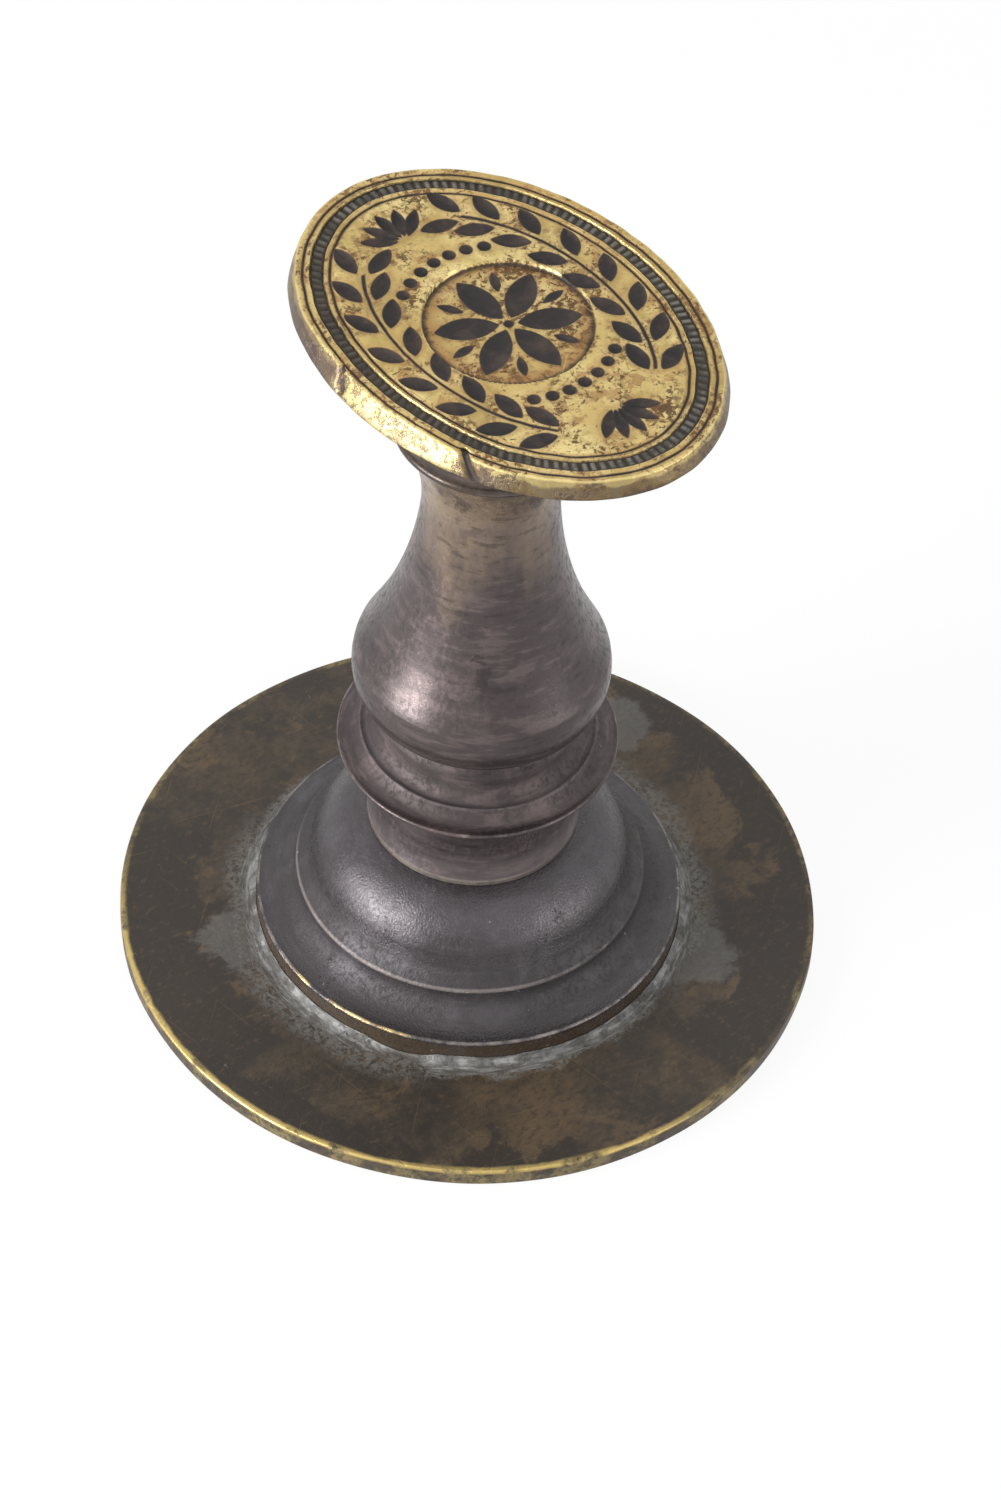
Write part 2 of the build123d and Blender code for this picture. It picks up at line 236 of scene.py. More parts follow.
class DieSettings(bpy.types.PropertyGroup):
    """Sizes and colours of the engraved oval die"""

    half_width: length("Half width", "Half of the oval's short axis", (die_high.x - die_low.x) / 2 / MM)
    half_length: length("Half length", "Half of the oval's long axis", (die_high.y - die_low.y) / 2 / MM)
    centre: length("Centre", "Where the oval's middle lies along Y", (die_high.y + die_low.y) / 2 / MM)
    edge_round: length("Edge rounding", "Rounding of the worn edge", 0.25)
    flare: length("Flare", "How far the side slopes inwards to the face", 0.45)
    rim_wander: length("Rim wander", "How far the filed rim wanders inwards", 0.16)
    bevel: length("Bevel", "How much more the side slopes where it was filed", 0.5)
    bevel_turn: turn("Bevel place", "Angle of the filed stretch round the axis", 180.0)
    thinning: length("Thinning", "How much thinner the plate is at its lower end", 0.5)
    nick_width: length("Nick width", "Width of the nick in the rim", 0.62)
    nick_depth: length("Nick depth", "Depth of the nick in the rim", 0.35)
    chip_width: length("Chip width", "Width of the chips in the rim", 0.5)
    chip_depth: length("Chip depth", "Depth of the chips in the rim", 0.3)
    line_inset: length("Line inset", "Inset of the outer cut line", 1.17)
    line_width: length("Line width", "Width of the cut lines", 0.26)
    line_depth: length("Line depth", "Depth of the cut lines", 0.22)
    band_inset: length("Bead band inset", "Inset of the bead band", 1.75)
    band_width: length("Bead band width", "Width of the bead band", 1.15)
    band_depth: length("Bead band depth", "Depth of the bead band", 0.34)
    bead_swell: length("Bead swell", "How far each bead stands up in the band", 0.22)
    bead_count: count("Beads", "Number of beads round the border", 132)
    inner_line: length("Inner line", "Inset of the line inside the beads", 3.4)
    device_inset: length("Device inset", "Inset of the border's inner edge", 3.7)
    field_radius: length("Field radius", "Radius of the round field", 7.0)
    field_depth: length("Field depth", "Depth of the round field", 0.3)
    petals: count("Petals", "Number of petals in the rosette", 6)
    petal_root: length("Petal root", "Where the petals start", 0.7)
    petal_tip: length("Petal tip", "Where the petals end", 6.2)
    petal_width: length("Petal width", "Width of a petal", 2.5)
    petal_depth: length("Petal depth", "Depth of a petal below the field", 0.4)
    sepal_start: length("Sepal start", "Where the sepals between the petals start", 3.7)
    sepal_length: length("Sepal length", "Length of a sepal", 2.4)
    sepal_width: length("Sepal width", "Width of a sepal", 0.9)
    eye_radius: length("Eye radius", "Radius of the rosette's eye", 0.45)
    wreath_inset: length("Wreath inset", "Inset of the wreath's stalk", 6.15)
    leaf_rows: count("Leaf pairs", "Pairs of leaves on each side of the wreath", 8)
    leaf_length: length("Leaf length", "Length of a wreath leaf", 3.5)
    leaf_width: length("Leaf width", "Width of a wreath leaf", 1.6)
    leaf_offset: length("Leaf offset", "Gap between the two roots of a pair", 1.05)
    leaf_splay: turn("Leaf splay", "How far a leaf leans from the stalk", 30.0)
    wreath_opening: turn("Wreath opening", "Half of the gap at each end of the wreath", 36.0)
    stalk_width: length("Stalk width", "Width of the wreath's stalk", 0.3)
    cut_depth: length("Cut depth", "Depth of the leaves", 0.4)
    berry_radius: length("Berry radius", "Radius of a berry", 0.6)
    berries: count("Berries", "Berries at each end of the field", 7)
    berry_orbit: length("Berry orbit", "Radius of the arc of berries", 8.9)
    berry_spread: turn("Berry spread", "Angle that an arc of berries covers", 60.0)
    fronds: count("Fronds", "Fronds in each palmette", 5)
    frond_length: length("Frond length", "Length of a palmette frond", 3.4)
    frond_width: length("Frond width", "Width of a palmette frond", 1.2)
    frond_root: length("Frond root", "Gap between a palmette's middle and its fronds", 0.6)
    frond_fan: turn("Frond fan", "Angle between two fronds", 26.0)
    palmette_place: length("Palmette place", "Distance of a palmette from the middle", 12.15)
    gold: colour("Brass face", "Main tone of the brass face", 190, 166, 106)
    pale_gold: colour("Rubbed brass", "Brass where it is rubbed bright", 214, 194, 134)
    olive: colour("Olive brass", "Brass with a thin green-yellow tarnish", 168, 154, 88)
    red: colour("Red tarnish", "Copper-red tarnish", 140, 98, 62)
    brown: colour("Brown tarnish", "Brown tarnish in pits", 80, 57, 40)
    dark: colour("Cut tarnish", "Dark tarnish in the cuts", 34, 29, 28)
    violet: colour("Cut brown", "Brown bloom in the cuts", 66, 54, 48)
    band: colour("Band tarnish", "Tarnish on the beads", 66, 64, 60)
    bead: colour("Bead grey", "Grey of the rubbed beads", 126, 121, 112)
    shade: colour("Side tarnish", "Violet-brown tarnish on the rim's side", 82, 70, 68)
    dull_gold: colour("Side brass", "Dull brass of the rim's side", 162, 144, 98)


class StageSettings(bpy.types.PropertyGroup):
    """Camera, lamps and floor"""

    lens: bpy.props.FloatProperty(
        name="Lens", description="Focal length of the camera in millimetres", default=144.0, min=1.0
    )
    camera_place: bpy.props.FloatVectorProperty(
        name="Camera", description="Where the camera stands", subtype="XYZ", unit="LENGTH",
        default=(-0.247698, -0.244760, 0.406824),
    )
    camera_aim: bpy.props.FloatVectorProperty(
        name="Aim", description="What the middle of the picture sees", subtype="XYZ", unit="LENGTH",
        default=(0.001454, -0.001490, 0.021610),
    )
    camera_roll: turn("Roll", "How far the camera leans", 3.6278)
    floor_size: length("Floor size", "Half of the floor's side", 900.0)
    floor_tone: colour("Floor", "Colour of the floor and the backdrop", 255, 255, 255)
    shade_share: share("Shadow share", "How much of the floor's look takes lamp light", 0.1)
    ambient: share("Ambient", "Level of the room's soft light", 0.42)


settings_classes = {
    "seal_plate": PlateSettings,
    "seal_foot": FootSettings,
    "seal_stem": StemSettings,
    "seal_shank": ShankSettings,
    "seal_solder": SolderSettings,
    "seal_die": DieSettings,
    "seal_stage": StageSettings,
}


# Turned shapes

Station = namedtuple("Station", "radius height rounding bow", defaults=(0.0, 0.0))
fewest_arc_pieces = 6
corner_points = 7
doublings = 3
same_place = 1e-7


def bowed(start, end, bow, step):
    """Points of a round arc from start up to end, which swells by bow to the right of its way."""
    start = np.array(start)
    chord = np.array(end) - start
    reach = np.hypot(*chord)
    pieces = max(fewest_arc_pieces if bow else 1, round(reach / step))
    shares = np.arange(pieces) / pieces
    points = start + shares[:, None] * chord
    if bow:
        radius = (reach**2 / 4 + bow**2) / (2 * abs(bow))
        along = (2 * shares - 1) * reach / 2
        lift = np.sqrt(radius**2 - along**2) - (radius - abs(bow))
        outwards = np.array((chord[1], -chord[0])) / reach
        points = points + np.sign(bow) * lift[:, None] * outwards
    return points


def upright_bow(start, end):
    """The bow of the arc between two points that stands upright at one of them."""
    chord = np.array(end) - np.array(start)
    lean = math.atan2(abs(chord[0]), abs(chord[1]))
    return np.hypot(*chord) / 2 * math.tan(lean / 2)


def outline(stations, step, closed=False):
    """A turning's half outline as fine points, with each station's corner rounded."""
    ring = stations + stations[:1] if closed else stations
    stretches = []
    corners = []
    travelled = 0.0
    for here, there in zip(ring, ring[1:]):
        stretch = bowed(here[:2], there[:2], here.bow, step)
        stretches.append(stretch)
        corners.append((travelled, here))
        path = np.vstack((stretch, there[:2]))
        travelled += np.hypot(*np.diff(path, axis=0).T).sum()
    points = np.vstack(stretches + [np.array([ring[-1][:2]])])
    places = np.concatenate(([0.0], np.cumsum(np.hypot(*np.diff(points, axis=0).T))))

    def at(place):
        return np.array((np.interp(place, places, points[:, 0]), np.interp(place, places, points[:, 1])))

    keep = np.ones(len(points), bool)
    extra_places = []
    extra_points = []
    for place, station in corners:
        if not station.rounding:
            continue
        before = at(place - station.rounding)
        after = at(place + station.rounding)
        corner = np.array(station[:2])
        keep &= abs(places - place) > station.rounding
        for t in np.linspace(0.0, 1.0, corner_points):
            extra_points.append((1 - t) ** 2 * before + 2 * t * (1 - t) * corner + t**2 * after)
            extra_places.append(place + (2 * t - 1) * station.rounding)
    if extra_points:
        points = np.vstack((points[keep], extra_points))
        places = np.concatenate((places[keep], extra_places))
        points = points[np.argsort(places, kind="stable")]
    return points[:-1] if closed else points


def spun(points, steps, closed=False):
    """A bmesh that turns an outline round the Z axis: an eighth is spun, and then doubled three times."""
    bm = bmesh.new()
    rail = [bm.verts.new((radius, 0.0, height)) for radius, height in points]
    for here, there in zip(rail, rail[1:]):
        bm.edges.new((here, there))
    if closed:
        bm.edges.new((rail[-1], rail[0]))
    sectors = 2**doublings
    sector = math.tau / sectors
    bmesh.ops.spin(
        bm, geom=bm.verts[:] + bm.edges[:], cent=(0, 0, 0), axis=(0, 0, 1),
        angle=sector, steps=steps // sectors,
    )
    for doubling in range(doublings):
        made = bmesh.ops.duplicate(bm, geom=bm.verts[:] + bm.edges[:] + bm.faces[:])["geom"]
        copied = [part for part in made if isinstance(part, bmesh.types.BMVert)]
        turned = Matrix.Rotation(sector * 2**doubling, 3, "Z")
        bmesh.ops.rotate(bm, verts=copied, cent=(0, 0, 0), matrix=turned)
    bmesh.ops.remove_doubles(bm, verts=bm.verts, dist=same_place)
    bmesh.ops.recalc_face_normals(bm, faces=bm.faces)
    return bm


def lumpy(place):
    """A share from 0 to 1 that changes smoothly from place to place."""
    return 0.5 + 0.5 * noise.noise(place)


# Hand work: the radius from which a plate has all of its wander, and how often that changes up its side
still_radius = 13 * MM
lumps_per_metre_up = 300


def wander(bm, depth, lumps, seed):
    """Moves a plate's points inwards by a little, most near its rim, as hand work does."""
    for vert in bm.verts:
        radius = math.hypot(vert.co.x, vert.co.y)
        if radius < MM:
            continue
        up = vert.co.z * lumps_per_metre_up + seed
        place = Vector((vert.co.x / radius * lumps, vert.co.y / radius * lumps, up))
        near_rim = min(1.0, radius / still_radius) ** 4
        moved = 1 - depth * near_rim * lumpy(place) / radius
        vert.co.x *= moved
        vert.co.y *= moved


def line_distance(places, start, end):
    """Distance of each place from a straight line between two points."""
    start = np.array(start)
    way = np.array(end) - start
    share_along = np.clip((places - start) @ way / (way @ way), 0.0, 1.0)
    return np.linalg.norm(places - start - share_along[:, None] * way, axis=1)


knock_drop = Vector((0.0, 0.0, -0.6))


def knock(bm, away, reach, depth):
    """Pushes the points near a mark towards the axis and down, most at the mark."""
    for index in np.flatnonzero(away < reach):
        vert = bm.verts[index]
        inwards = Vector((-vert.co.x, -vert.co.y, 0.0)).normalized() + knock_drop
        vert.co += inwards * depth * (1 - (away[index] / reach) ** 2) ** 2


StemLevels = namedtuple("StemLevels", "ring ring_top bead collar belly_foot belly shoulder waist lip")


def stem_levels(stem):
    """Heights of the handle's forms, from the ring up to the roll under the cup."""
    ring = foot_top + stem.drum_height
    ring_top = ring + stem.ring_edge
    bead = ring_top + stem.bead_rise
    collar = bead + stem.collar_rise
    belly_foot = collar + stem.belly_foot_rise
    belly = belly_foot + stem.belly_rise
    shoulder = belly + stem.shoulder_rise
    waist = shoulder + stem.neck_height
    lip = cup_level - stem.lip_drop
    return StemLevels(ring, ring_top, bead, collar, belly_foot, belly, shoulder, waist, lip)


# Meshes

sharp_angle = math.radians(50)
shortest_way = 0.08 * MM
tiny = 1e-9


def store(mesh, name, values):
    """Keeps one number for each point of a mesh, for its material to read."""
    mesh.attributes.new(name, "FLOAT", "POINT").data.foreach_set("value", values.astype(np.float32))


def bend_of_surface(mesh):
    """How sharply the surface bends at each point: above 0 on an arris, below 0 in a crease."""
    size = len(mesh.vertices)
    places = np.empty(size * 3, np.float32)
    mesh.vertices.foreach_get("co", places)
    places = places.reshape(-1, 3).astype(float)
    normals = np.empty(size * 3, np.float32)
    mesh.vertex_normals.foreach_get("vector", normals)
    normals = normals.reshape(-1, 3)
    pairs = np.empty(len(mesh.edges) * 2, np.int32)
    mesh.edges.foreach_get("vertices", pairs)
    first, second = pairs.reshape(-1, 2).T
    way = places[second] - places[first]
    weight = 1 / np.maximum(np.linalg.norm(way, axis=1), shortest_way)
    total = np.zeros(size)
    weights = np.zeros(size)
    for here, sign in ((first, -1), (second, 1)):
        np.add.at(total, here, sign * (normals[here] * way).sum(1) * weight**2 * weight)
        np.add.at(weights, here, weight)
    bend = total / np.maximum(weights, tiny) * MM
    near = np.zeros(size)
    np.add.at(near, first, bend[second])
    np.add.at(near, second, bend[first])
    links = np.bincount(pairs, minlength=size)
    return np.clip((bend + near / np.maximum(links, 1)) / 2, -1, 1)


def finish_piece(bm, name, material, node):
    """Makes the piece of a bmesh, dresses it, and lets it stand for its CAD node."""
    mesh = bpy.data.meshes.new(name)
    bm.to_mesh(mesh)
    bm.free()
    mesh.polygons.foreach_set("use_smooth", np.ones(len(mesh.polygons), bool))
    mesh.set_sharp_from_angle(angle=sharp_angle)
    store(mesh, "bend", bend_of_surface(mesh))
    mesh.materials.append(material)
    piece = bpy.data.objects.new(name, mesh)
    bpy.context.scene.collection.objects.link(piece)
    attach(piece, "root")
    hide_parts(node)
    return piece


# Engraving of the oval die

worn_edge = 0.1 * MM
wall_slope = 0.07 * MM
moat_depth = 0.1 * MM
moat_start = -0.9 * MM
moat_end = -0.2 * MM
leaf_shoulder = 2.2
bead_shoulder = 0.25 * MM
border_samples = 2000
ding_count = 260
ding_seed = 7
ding_sizes = (0.12, 0.4)
ding_depth = 0.08


def ramp(values, start, end):
    """A smooth step from 0 at start to 1 at end."""
    shares = np.clip((values - start) / (end - start), 0.0, 1.0)
    return shares * shares * (3 - 2 * shares)


def leaf_distance(points, root, angle, reach, width):
    """Distance from a pointed leaf's edge, below 0 inside it."""
    offset = points - np.array(root)
    along = offset[:, 0] * math.cos(angle) + offset[:, 1] * math.sin(angle)
    across = abs(offset[:, 1] * math.cos(angle) - offset[:, 0] * math.sin(angle))
    rise = width / 2
    radius = (reach**2 / 4 + rise**2) / (2 * rise)
    return np.hypot(along - reach / 2, across + radius - rise) - radius


def nearest(distances):
    """The distance from the nearest of several shapes."""
    return np.minimum.reduce(distances)


def rosette_distance(points, die):
    """Distance from the petals, the sepals and the eye in the round field."""
    found = [np.hypot(*points.T) - die.eye_radius]
    for index in range(die.petals):
        angle = math.pi / 2 + index * math.tau / die.petals
        root = (die.petal_root * math.cos(angle), die.petal_root * math.sin(angle))
        found.append(leaf_distance(points, root, angle, die.petal_tip - die.petal_root, die.petal_width))
        angle += math.pi / die.petals
        root = (die.sepal_start * math.cos(angle), die.sepal_start * math.sin(angle))
        found.append(leaf_distance(points, root, angle, die.sepal_length, die.sepal_width))
    return nearest(found)


def wreath_distance(points, die):
    """Distance from the two leafy branches and their stalks."""
    half_width = die.half_width - die.wreath_inset
    half_length = die.half_length - die.wreath_inset
    first = die.wreath_opening - math.pi / 2
    step = (math.pi - 2 * die.wreath_opening) / (die.leaf_rows - 1)
    found = []
    for side in (1, -1):
        for row in range(die.leaf_rows):
            angle = first + row * step
            x = side * half_width * math.cos(angle)
            y = half_length * math.sin(angle)
            run = math.atan2(half_length * math.cos(angle), -side * half_width * math.sin(angle))
            for lean in (1, -1):
                root = (
                    x - lean * math.sin(run) * die.leaf_offset / 2,
                    y + lean * math.cos(run) * die.leaf_offset / 2,
                )
                toward = run + lean * die.leaf_splay
                found.append(leaf_distance(points, root, toward, die.leaf_length, die.leaf_width))
    ring = np.hypot(points[:, 0] / half_width, points[:, 1] / half_length)
    stalk = abs(ring - 1) * half_width - die.stalk_width / 2
    slope = abs(points[:, 1]) / half_length
    ends = (slope - math.sin(math.pi / 2 - die.wreath_opening)) * half_length
    found.append(np.maximum(stalk, ends))
    return nearest(found)


def palmette_distance(points, die):
    """Distance from the fans of fronds at the two ends."""
    found = []
    for end in (1, -1):
        for index in range(die.fronds):
            angle = end * math.pi / 2 + (index - (die.fronds - 1) / 2) * die.frond_fan
            root = (
                die.frond_root * math.cos(angle),
                end * die.palmette_place + die.frond_root * math.sin(angle),
            )
            found.append(leaf_distance(points, root, angle, die.frond_length, die.frond_width))
    return nearest(found)


def berry_distance(points, die):
    """Distance from the two arcs of berries."""
    found = []
    for end in (1, -1):
        for index in range(die.berries):
            angle = end * math.pi / 2 + (index / (die.berries - 1) - 0.5) * die.berry_spread
            spot = np.array((math.cos(angle), math.sin(angle))) * die.berry_orbit
            found.append(np.hypot(*(points - spot).T) - die.berry_radius)
    return nearest(found)


def bead_distance(inset, angle, die):
    """Distance from the beads in the border's band, spaced evenly along it."""
    middle = die.band_inset + die.band_width / 2
    turns = np.linspace(-math.pi, math.pi, border_samples)
    way = np.stack(((die.half_width - middle) * np.cos(turns), (die.half_length - middle) * np.sin(turns)))
    travelled = np.concatenate(([0.0], np.cumsum(np.hypot(*np.diff(way)))))
    pitch = travelled[-1] / die.bead_count
    place = np.interp(np.arctan2(np.sin(angle), np.cos(angle)), turns, travelled) / pitch
    half_along = pitch * 0.37
    half_across = die.band_width * 0.44
    wobble = 0.05 * np.sin(np.floor(place) * 2.4)
    along = abs(place - np.floor(place) - 0.5 + wobble) * pitch - half_along
    across = abs(inset - middle) - half_across
    corner = np.hypot(np.maximum(along + worn_edge, 0), np.maximum(across + worn_edge, 0)) - worn_edge
    return corner + np.minimum(np.maximum(along, across) + worn_edge, 0)


def gouge(distance, half_width, depth):
    """Depth of a cut with a rounded bottom and slightly worn edges."""
    inside = (np.hypot(distance, worn_edge) - distance) / 2
    shares = np.clip(inside / half_width, 0.0, 1.0)
    return depth * (1 - (1 - shares) ** 2)


def engrave(points, inset, angle, die):
    """Depth of the engraving at each point of the face, and the distances that its finish reads."""
    rosette = rosette_distance(points, die)
    wreath = wreath_distance(points, die)
    palmettes = palmette_distance(points, die)
    berries = berry_distance(points, die)
    beads = bead_distance(inset, angle, die)
    field = np.hypot(*points.T) - die.field_radius
    band = abs(inset - die.band_inset - die.band_width / 2) - die.band_width / 2
    lines = nearest([
        abs(inset - die.line_inset) - die.line_width / 2,
        abs(inset - die.inner_line) - die.line_width / 2,
    ])
    moat = moat_depth * ramp(field, moat_start, moat_end)
    floor = (die.field_depth + moat) * ramp(field, wall_slope, -wall_slope)
    depth = np.maximum.reduce([
        floor + gouge(rosette, die.petal_width / 2, die.petal_depth),
        gouge(wreath, die.leaf_width / leaf_shoulder, die.cut_depth),
        gouge(palmettes, die.frond_width / leaf_shoulder, die.cut_depth),
        gouge(berries, die.berry_radius, die.cut_depth),
        gouge(lines, die.line_width / 2, die.line_depth),
        die.band_depth * ramp(band, wall_slope, -wall_slope) - gouge(beads, bead_shoulder, die.bead_swell),
    ])
    distances = {
        "cut": nearest([rosette, wreath, palmettes, berries, lines]),
        "field": field,
        "band": band,
        "bead": beads,
    }
    depth = depth + chatter(points) * ramp(distances["cut"], 0.0, -0.2 * MM)
    return depth, {name: values / MM for name, values in distances.items()}


def chatter(points):
    """Depth of the ripples that the graver leaves in its cuts."""
    ripple_depth = 0.012 * MM
    ripple_pitch = 0.16 * MM
    slant = 0.7
    sway = 1.5
    x, y = points.T
    bent = np.sin(y / (0.5 * MM)) + np.sin(x / (0.9 * MM))
    return ripple_depth * np.sin((x + slant * y) / ripple_pitch + sway * bent)


def dings(points):
    """Depth of small knocks spread over the face."""
    rng = np.random.default_rng(ding_seed)
    reach = np.abs(points).max(0)
    spots = rng.uniform(-reach, reach, (ding_count, 2))
    sizes = rng.uniform(*ding_sizes, ding_count)
    depth = np.zeros(len(points))
    for spot, size in zip(spots, sizes):
        away = np.hypot(*(points - spot).T) / (size * MM)
        depth = np.maximum(depth, ding_depth * size * MM * np.clip(1 - away * away, 0, 1))
    return depth


# The grid that carries the engraving: its cuts, and the share of its rings that lies in the border
grid_cuts = 284
border_rings = 0.34


def oval_places(square, die):
    """Where a square grid's points lie on the oval, so that the grid's rings follow its border."""
    x, y = square.T
    ring = np.maximum(abs(x), abs(y))
    sideways = abs(x) >= abs(y)
    safe_x = np.where(abs(x) < tiny, tiny, x)
    safe_y = np.where(abs(y) < tiny, tiny, y)
    angle = np.where(
        sideways,
        math.pi / 4 * y / safe_x + math.pi * (x < 0),
        math.pi / 2 - math.pi / 4 * x / safe_y + math.pi * (y < 0),
    )
    inner = 1 - border_rings
    in_border = ring > inner
    across = np.where(in_border, (1 - ring) / border_rings, 1.0)
    edge = die.flare + die.edge_round
    inset = edge + across * (die.device_inset - edge)
    shrink = np.where(in_border, 1.0, ring / inner)
    points = np.stack((
        (die.half_width - inset) * shrink * np.cos(angle),
        (die.half_length - inset) * shrink * np.sin(angle),
    ), axis=1)
    return points, np.where(in_border, inset, die.device_inset * 2), angle


def rim_stations(die):
    """The inset and the level of each ring of the rim, from the face to the middle of the back."""
    rounding = die.edge_round
    stations = []
    for share_of_turn in (0.25, 0.5, 0.75, 1.0):
        turned = share_of_turn * math.pi / 2
        inset = die.flare + rounding * (1 - math.sin(turned))
        stations.append((inset, die_high.z - rounding * (1 - math.cos(turned))))
    for level in (0.8, 0.6, 0.4, 0.2):
        straight = die_high.z - die_bottom - 2 * rounding
        stations.append((die.flare * level, die_bottom + rounding + level * straight))
    for share_of_turn in (0.0, 0.33, 0.67, 1.0):
        turned = share_of_turn * math.pi / 2
        stations.append((rounding * (1 - math.cos(turned)), die_bottom + rounding * (1 - math.sin(turned))))
    return stations


def oval_die_mesh(die):
    """The engraved oval plate, and the distances that its finish reads."""
    bm = bmesh.new()
    bmesh.ops.create_grid(bm, x_segments=grid_cuts, y_segments=grid_cuts, size=1.0)
    square = np.array([vert.co[:2] for vert in bm.verts])
    points, inset, angle = oval_places(square, die)
    depth, distances = engrave(points, inset, angle, die)
    depth = depth + dings(points)
    for vert, (x, y), sink in zip(bm.verts, points, depth):
        vert.co = (x, y, die_high.z - sink)
    rim = [edge for edge in bm.edges if edge.is_boundary]
    inset_now = die.flare + die.edge_round
    for inset_next, level in rim_stations(die):
        rim = extruded_rim(bm, rim, inset_now, inset_next, level, die)
        inset_now = inset_next
    back = extruded_rim(bm, rim, inset_now, die.half_width / 2, die_bottom, die)
    loop = list({vert for edge in back for vert in edge.verts})
    bmesh.ops.pointmerge(bm, verts=loop, merge_co=(0, 0, die_bottom))
    bmesh.ops.recalc_face_normals(bm, faces=bm.faces)
    bm.verts.ensure_lookup_table()
    levels = np.array([vert.co.z for vert in bm.verts])
    distances["down"] = (die_high.z - levels) / (die_high.z - die_bottom)
    distances["down"][: len(points)] = 0.0
    file_rim(bm, die)
    wander(bm, die.rim_wander, lumps=9.0, seed=2.0)
    bmesh.ops.translate(bm, verts=bm.verts, vec=(0, die.centre, 0))
    return bm, knock_rim(bm, distances, die)


# The filed stretch of the rim: cosines of the angles where it starts and is full, and its insets
filed_start = 0.7
filed_full = 0.97
filed_inner = 8 * MM
filed_border = 1.2 * MM
filed_edge = 0.6 * MM


def file_rim(bm, die):
    """Bevels a stretch of the rim more than the rest, and thins the plate towards its lower end."""
    places = np.array([vert.co for vert in bm.verts])
    x, y, z = places.T
    inset = (1 - np.hypot(x / die.half_width, y / die.half_length)) * die.half_width
    thickness = die_high.z - die_bottom
    towards = np.cos(np.arctan2(y, x) - die.bevel_turn)
    filed = ramp(towards, filed_start, filed_full) * (z - die_bottom) / thickness
    near = 0.5 * ramp(inset, filed_inner, filed_border) + 0.5 * ramp(inset, filed_border, filed_edge)
    shrunk = 1 - die.bevel * filed * near / np.maximum(np.hypot(x, y), MM)
    thinned = 1 - die.thinning / thickness * (0.5 - y / die.half_length / 2)
    for vert, flat, high in zip(bm.verts, shrunk, thinned):
        vert.co = (vert.co.x * flat, vert.co.y * flat, die_bottom + (vert.co.z - die_bottom) * high)


# Marks on the rim, each from an angle in degrees and a drop down the side in millimetres to another
RimMark = namedtuple("RimMark", "start end kind")
rim_marks = (
    RimMark((216.0, -0.35), (220.5, 2.2), "nick"),
    RimMark((163.0, -0.3), (164.5, 0.1), "chip"),
    RimMark((166.0, 0.9), (168.0, 1.5), "chip"),
)
rim_radius = 15 * MM
far_away = 5.0


def unroll_rim(places, down, die):
    """Where the rim's points lie when it is laid flat: along it, and down its side from the face's edge."""
    x, y = places[:, :2].T
    ring = np.hypot(x / die.half_width, (y - die.centre) / die.half_length)
    inset = (1 - ring) * die.half_width - die.flare - die.edge_round
    along = np.arctan2(y, x) % math.tau * rim_radius
    return np.stack((along, np.where(down > 0, down * (die_high.z - die_bottom), -inset)), axis=1)


def knock_rim(bm, distances, die):
    """Cuts the nick and two chips into the rim, and gives each point of the plate its distances."""
    places = np.array([vert.co for vert in bm.verts])
    everywhere = {}
    for name, values in distances.items():
        everywhere[name] = np.full(len(places), far_away)
        everywhere[name][: len(values)] = values
    unrolled = unroll_rim(places, everywhere["down"], die)
    sizes = {"nick": (die.nick_width, die.nick_depth), "chip": (die.chip_width, die.chip_depth)}
    for mark in rim_marks:
        width, depth = sizes[mark.kind]
        ends = [(math.radians(angle) * rim_radius, drop * MM) for angle, drop in (mark.start, mark.end)]
        away = line_distance(unrolled, *ends)
        everywhere["cut"] = np.minimum(everywhere["cut"], (away - width / 2) / MM)
        knock(bm, away, width, depth)
    return everywhere


def extruded_rim(bm, rim, inset_now, inset_next, level, die):
    """Adds one more ring to the rim, at a new inset and level."""
    made = bmesh.ops.extrude_edge_only(bm, edges=rim)["geom"]
    for vert in made:
        if isinstance(vert, bmesh.types.BMVert):
            x = vert.co.x / (die.half_width - inset_now)
            y = vert.co.y / (die.half_length - inset_now)
            vert.co = (x * (die.half_width - inset_next), y * (die.half_length - inset_next), level)
    return [edge for edge in made if isinstance(edge, bmesh.types.BMEdge)]


# Shader nodes

# How much of a side's spread and of a spot's reach is full, and the side lit by the key lamp, where edges
# are given rubbed metal and a painted highlight, in degrees
full_side = 0.6
full_spot = 0.75
lit_rub_side = 195.0
lit_rub_spread = 80.0
lit_rub_least = 0.2


